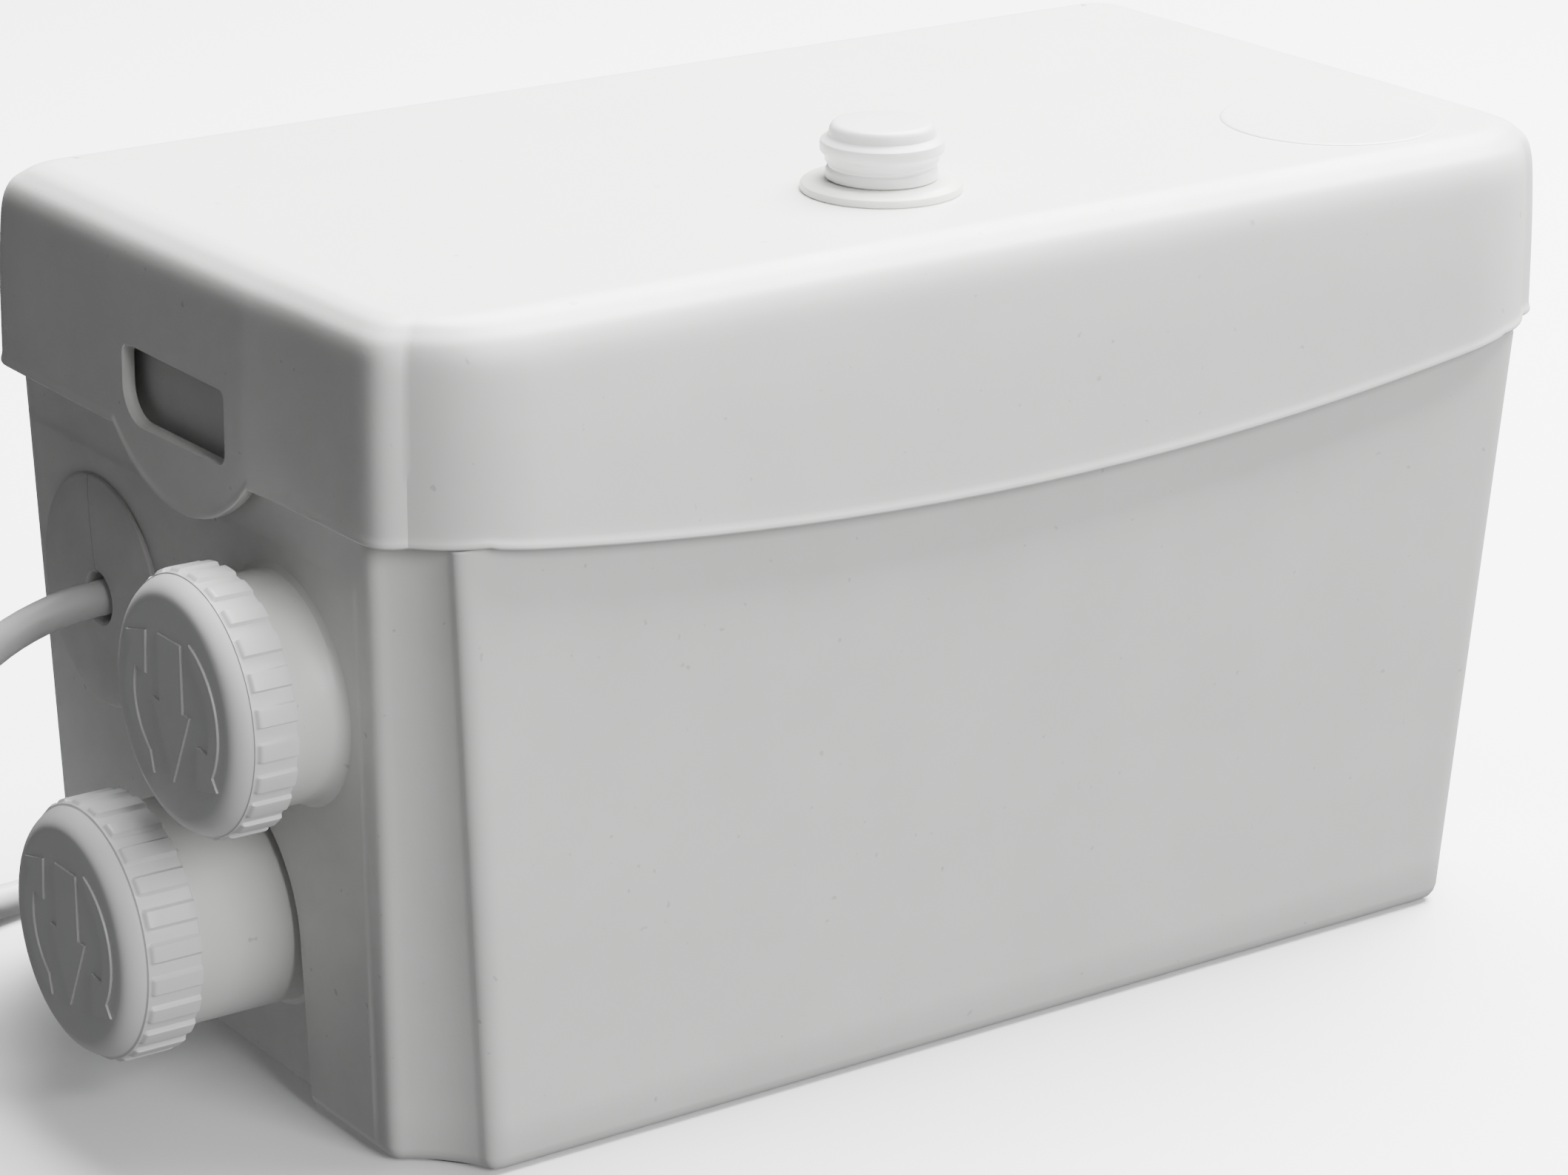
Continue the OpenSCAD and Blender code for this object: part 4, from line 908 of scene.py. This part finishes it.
MAT = {
    "tank_white": moulded("tank plastic", (0.70, 0.70, 0.685), (0.655, 0.655, 0.64), 0.36, 0.48, dust=(0.42, 0.41, 0.40)),
    "lid_white": moulded("lid plastic", (0.73, 0.73, 0.715), (0.69, 0.69, 0.675), 0.33, 0.45, dust=(0.44, 0.43, 0.42)),
    "cap_white": moulded("cap plastic", (0.74, 0.74, 0.735), (0.70, 0.70, 0.695), 0.30, 0.40, grain=0.00002),
    "vent_plastic": moulded("vent plastic", (0.72, 0.72, 0.69), (0.66, 0.66, 0.63), 0.30, 0.42, sss=0.35),
    "grommet_white": moulded("grommet", (0.66, 0.66, 0.65), (0.60, 0.60, 0.59), 0.42, 0.56, wave=0.0003, fine=700.0),
    "seal_rubber": rubber("seal rubber", (0.030, 0.030, 0.032), (0.018, 0.018, 0.020)),
    "flap_rubber": rubber("flap rubber", (0.045, 0.045, 0.047), (0.028, 0.028, 0.03), 0.42, 0.62),
    "elbow_rubber": rubber("elbow rubber", (0.050, 0.050, 0.052), (0.032, 0.032, 0.034), 0.45, 0.66),
    "filter_foam": rubber("filter foam", (0.05, 0.05, 0.052), (0.015, 0.015, 0.016), 0.85, 0.95),
    "inner_plastic": moulded("inner plastic", (0.60, 0.60, 0.585), (0.54, 0.54, 0.525), 0.42, 0.58, dust=(0.3, 0.29, 0.28)),
    "pump_grey": moulded("pump plastic", (0.19, 0.20, 0.21), (0.15, 0.16, 0.17), 0.42, 0.58, fine=700.0),
    "impeller_nylon": moulded("impeller nylon", (0.06, 0.07, 0.09), (0.04, 0.05, 0.065), 0.38, 0.5),
    "capacitor_case": moulded("capacitor case", (0.62, 0.61, 0.57), (0.57, 0.56, 0.52), 0.3, 0.42),
    "motor_alloy": metal("cast alloy", (0.55, 0.56, 0.57), (0.45, 0.46, 0.47), 0.42, 0.6, (1, 1, 1), grain=0.00008),
    "core_steel": metal("laminated core", (0.34, 0.34, 0.35), (0.25, 0.25, 0.26), 0.38, 0.55, (0.2, 0.2, 30), grain=0.00006),
    "steel": metal("steel", (0.62, 0.62, 0.63), (0.54, 0.54, 0.55), 0.22, 0.36),
    "blade_steel": metal("blade steel", (0.58, 0.58, 0.60), (0.50, 0.50, 0.52), 0.20, 0.34, (40, 1, 1)),
    "copper": metal("varnished copper", (0.72, 0.36, 0.18), (0.60, 0.27, 0.12), 0.25, 0.4, (1, 1, 60), grain=0.00012),
    "lead_black": moulded("lead sheath", (0.03, 0.03, 0.032), (0.022, 0.022, 0.024), 0.4, 0.55),
    "plunger_red": moulded("plunger plastic", (0.50, 0.05, 0.035), (0.42, 0.04, 0.03), 0.34, 0.46),
    "cord_white": moulded("cord sheath", (0.72, 0.72, 0.715), (0.67, 0.67, 0.665), 0.34, 0.46, wave=0.0003, grain=0.00003),
    "plug_white": moulded("plug plastic", (0.70, 0.70, 0.69), (0.65, 0.65, 0.64), 0.34, 0.46),
    "brass_pins": metal("brass", (0.78, 0.62, 0.32), (0.70, 0.54, 0.27), 0.2, 0.32, (40, 1, 1)),
}
SLOT = {s["node"]: s["material_slot"] for s in frame["record"]["subparts"]} if frame.get("record") else {}
made = {cord: "cord_white", lid: "lid_white", tank: "tank_white", gr: "grommet_white", plug: "plug_white", pins: "brass_pins", tie: "cord_white", collar: "vent_plastic", vplug: "cap_white"}
for ob in bpy.data.objects:
    if ob.type == "MESH" and ob.name.endswith("_cap_skin"):
        made[ob] = "cap_white"
for ob, s in made.items():
    ob.data.materials.clear()
    ob.data.materials.append(MAT[s])
for nname, ob in NODES.items():
    for o in ([ob] if ob.type == "MESH" else []) + [c for c in ob.children_recursive if c.type == "MESH"]:
        s = SLOT.get(nname)
        if s in MAT:
            if len(o.data.materials):
                for i in range(len(o.data.materials)):
                    o.data.materials[i] = MAT[s]
            else:
                o.data.materials.append(MAT[s])

# ------------------------------------------------------------------ floor and light
bpy.ops.mesh.primitive_plane_add(size=14, location=(0, 0, 0))
floor = bpy.context.object
floor.name = "floor"
fm, nt, b = nodes_of("floor paper")
fv = coords(nt, (1, 1, 1))
nt.links.new(mixc(nt, rng(nt, noise(nt, fv, 3.0), 0, 1), (0.90, 0.90, 0.90), (0.885, 0.885, 0.885)), b.inputs["Base Color"])
b.inputs["Roughness"].default_value = 0.9
b.inputs["Specular IOR Level"].default_value = 0.2
floor.data.materials.append(fm)

floor.visible_diffuse = False
floor.visible_glossy = False
world = bpy.data.worlds.new("studio")
bpy.context.scene.world = world
world.use_nodes = True
wt = world.node_tree
bg = wt.nodes["Background"]
bg.inputs["Color"].default_value = (0.98, 0.985, 1.0, 1)
wc = wt.nodes.new("ShaderNodeTexCoord")
wd = wt.nodes.new("ShaderNodeVectorMath")
wd.operation = "DOT_PRODUCT"
wd.inputs[1].default_value = (0.60, -0.45, 0.66)
wt.links.new(wc.outputs["Generated"], wd.inputs[0])
wr = wt.nodes.new("ShaderNodeMapRange")
for k, x in (("From Min", 0.42), ("From Max", 1.0), ("To Min", 0.10), ("To Max", 0.95)):
    wr.inputs[k].default_value = x
wt.links.new(wd.outputs["Value"], wr.inputs["Value"])
ws = wt.nodes.new("ShaderNodeSeparateXYZ")
wt.links.new(wc.outputs["Generated"], ws.inputs[0])
wl = wt.nodes.new("ShaderNodeMapRange")
for k, x in (("From Min", -1.0), ("From Max", 0.05), ("To Min", 0.26), ("To Max", 0.0)):
    wl.inputs[k].default_value = x
wt.links.new(ws.outputs["Z"], wl.inputs["Value"])
wa = wt.nodes.new("ShaderNodeMath")
wa.operation = "ADD"
wt.links.new(wr.outputs["Result"], wa.inputs[0])
wt.links.new(wl.outputs["Result"], wa.inputs[1])
wt.links.new(wa.outputs[0], bg.inputs["Strength"])


def area(name, loc, target, size, power, color=(1, 1, 1)):
    d = bpy.data.lights.new(name, "AREA")
    d.shape = "RECTANGLE"
    d.size, d.size_y = size
    d.energy = power
    d.color = color
    o = bpy.data.objects.new(name, d)
    bpy.context.scene.collection.objects.link(o)
    o.location = loc
    o.rotation_euler = (Vector(target) - Vector(loc)).to_track_quat("-Z", "Y").to_euler()
    return o


area("top", (0.75, 0.15, 1.45), (0.1, 0.0, 0.1), (1.5, 1.5), 260.0)
area("front", (0.05, -1.70, 0.90), (0.0, 0.0, 0.08), (0.9, 1.0), 31)
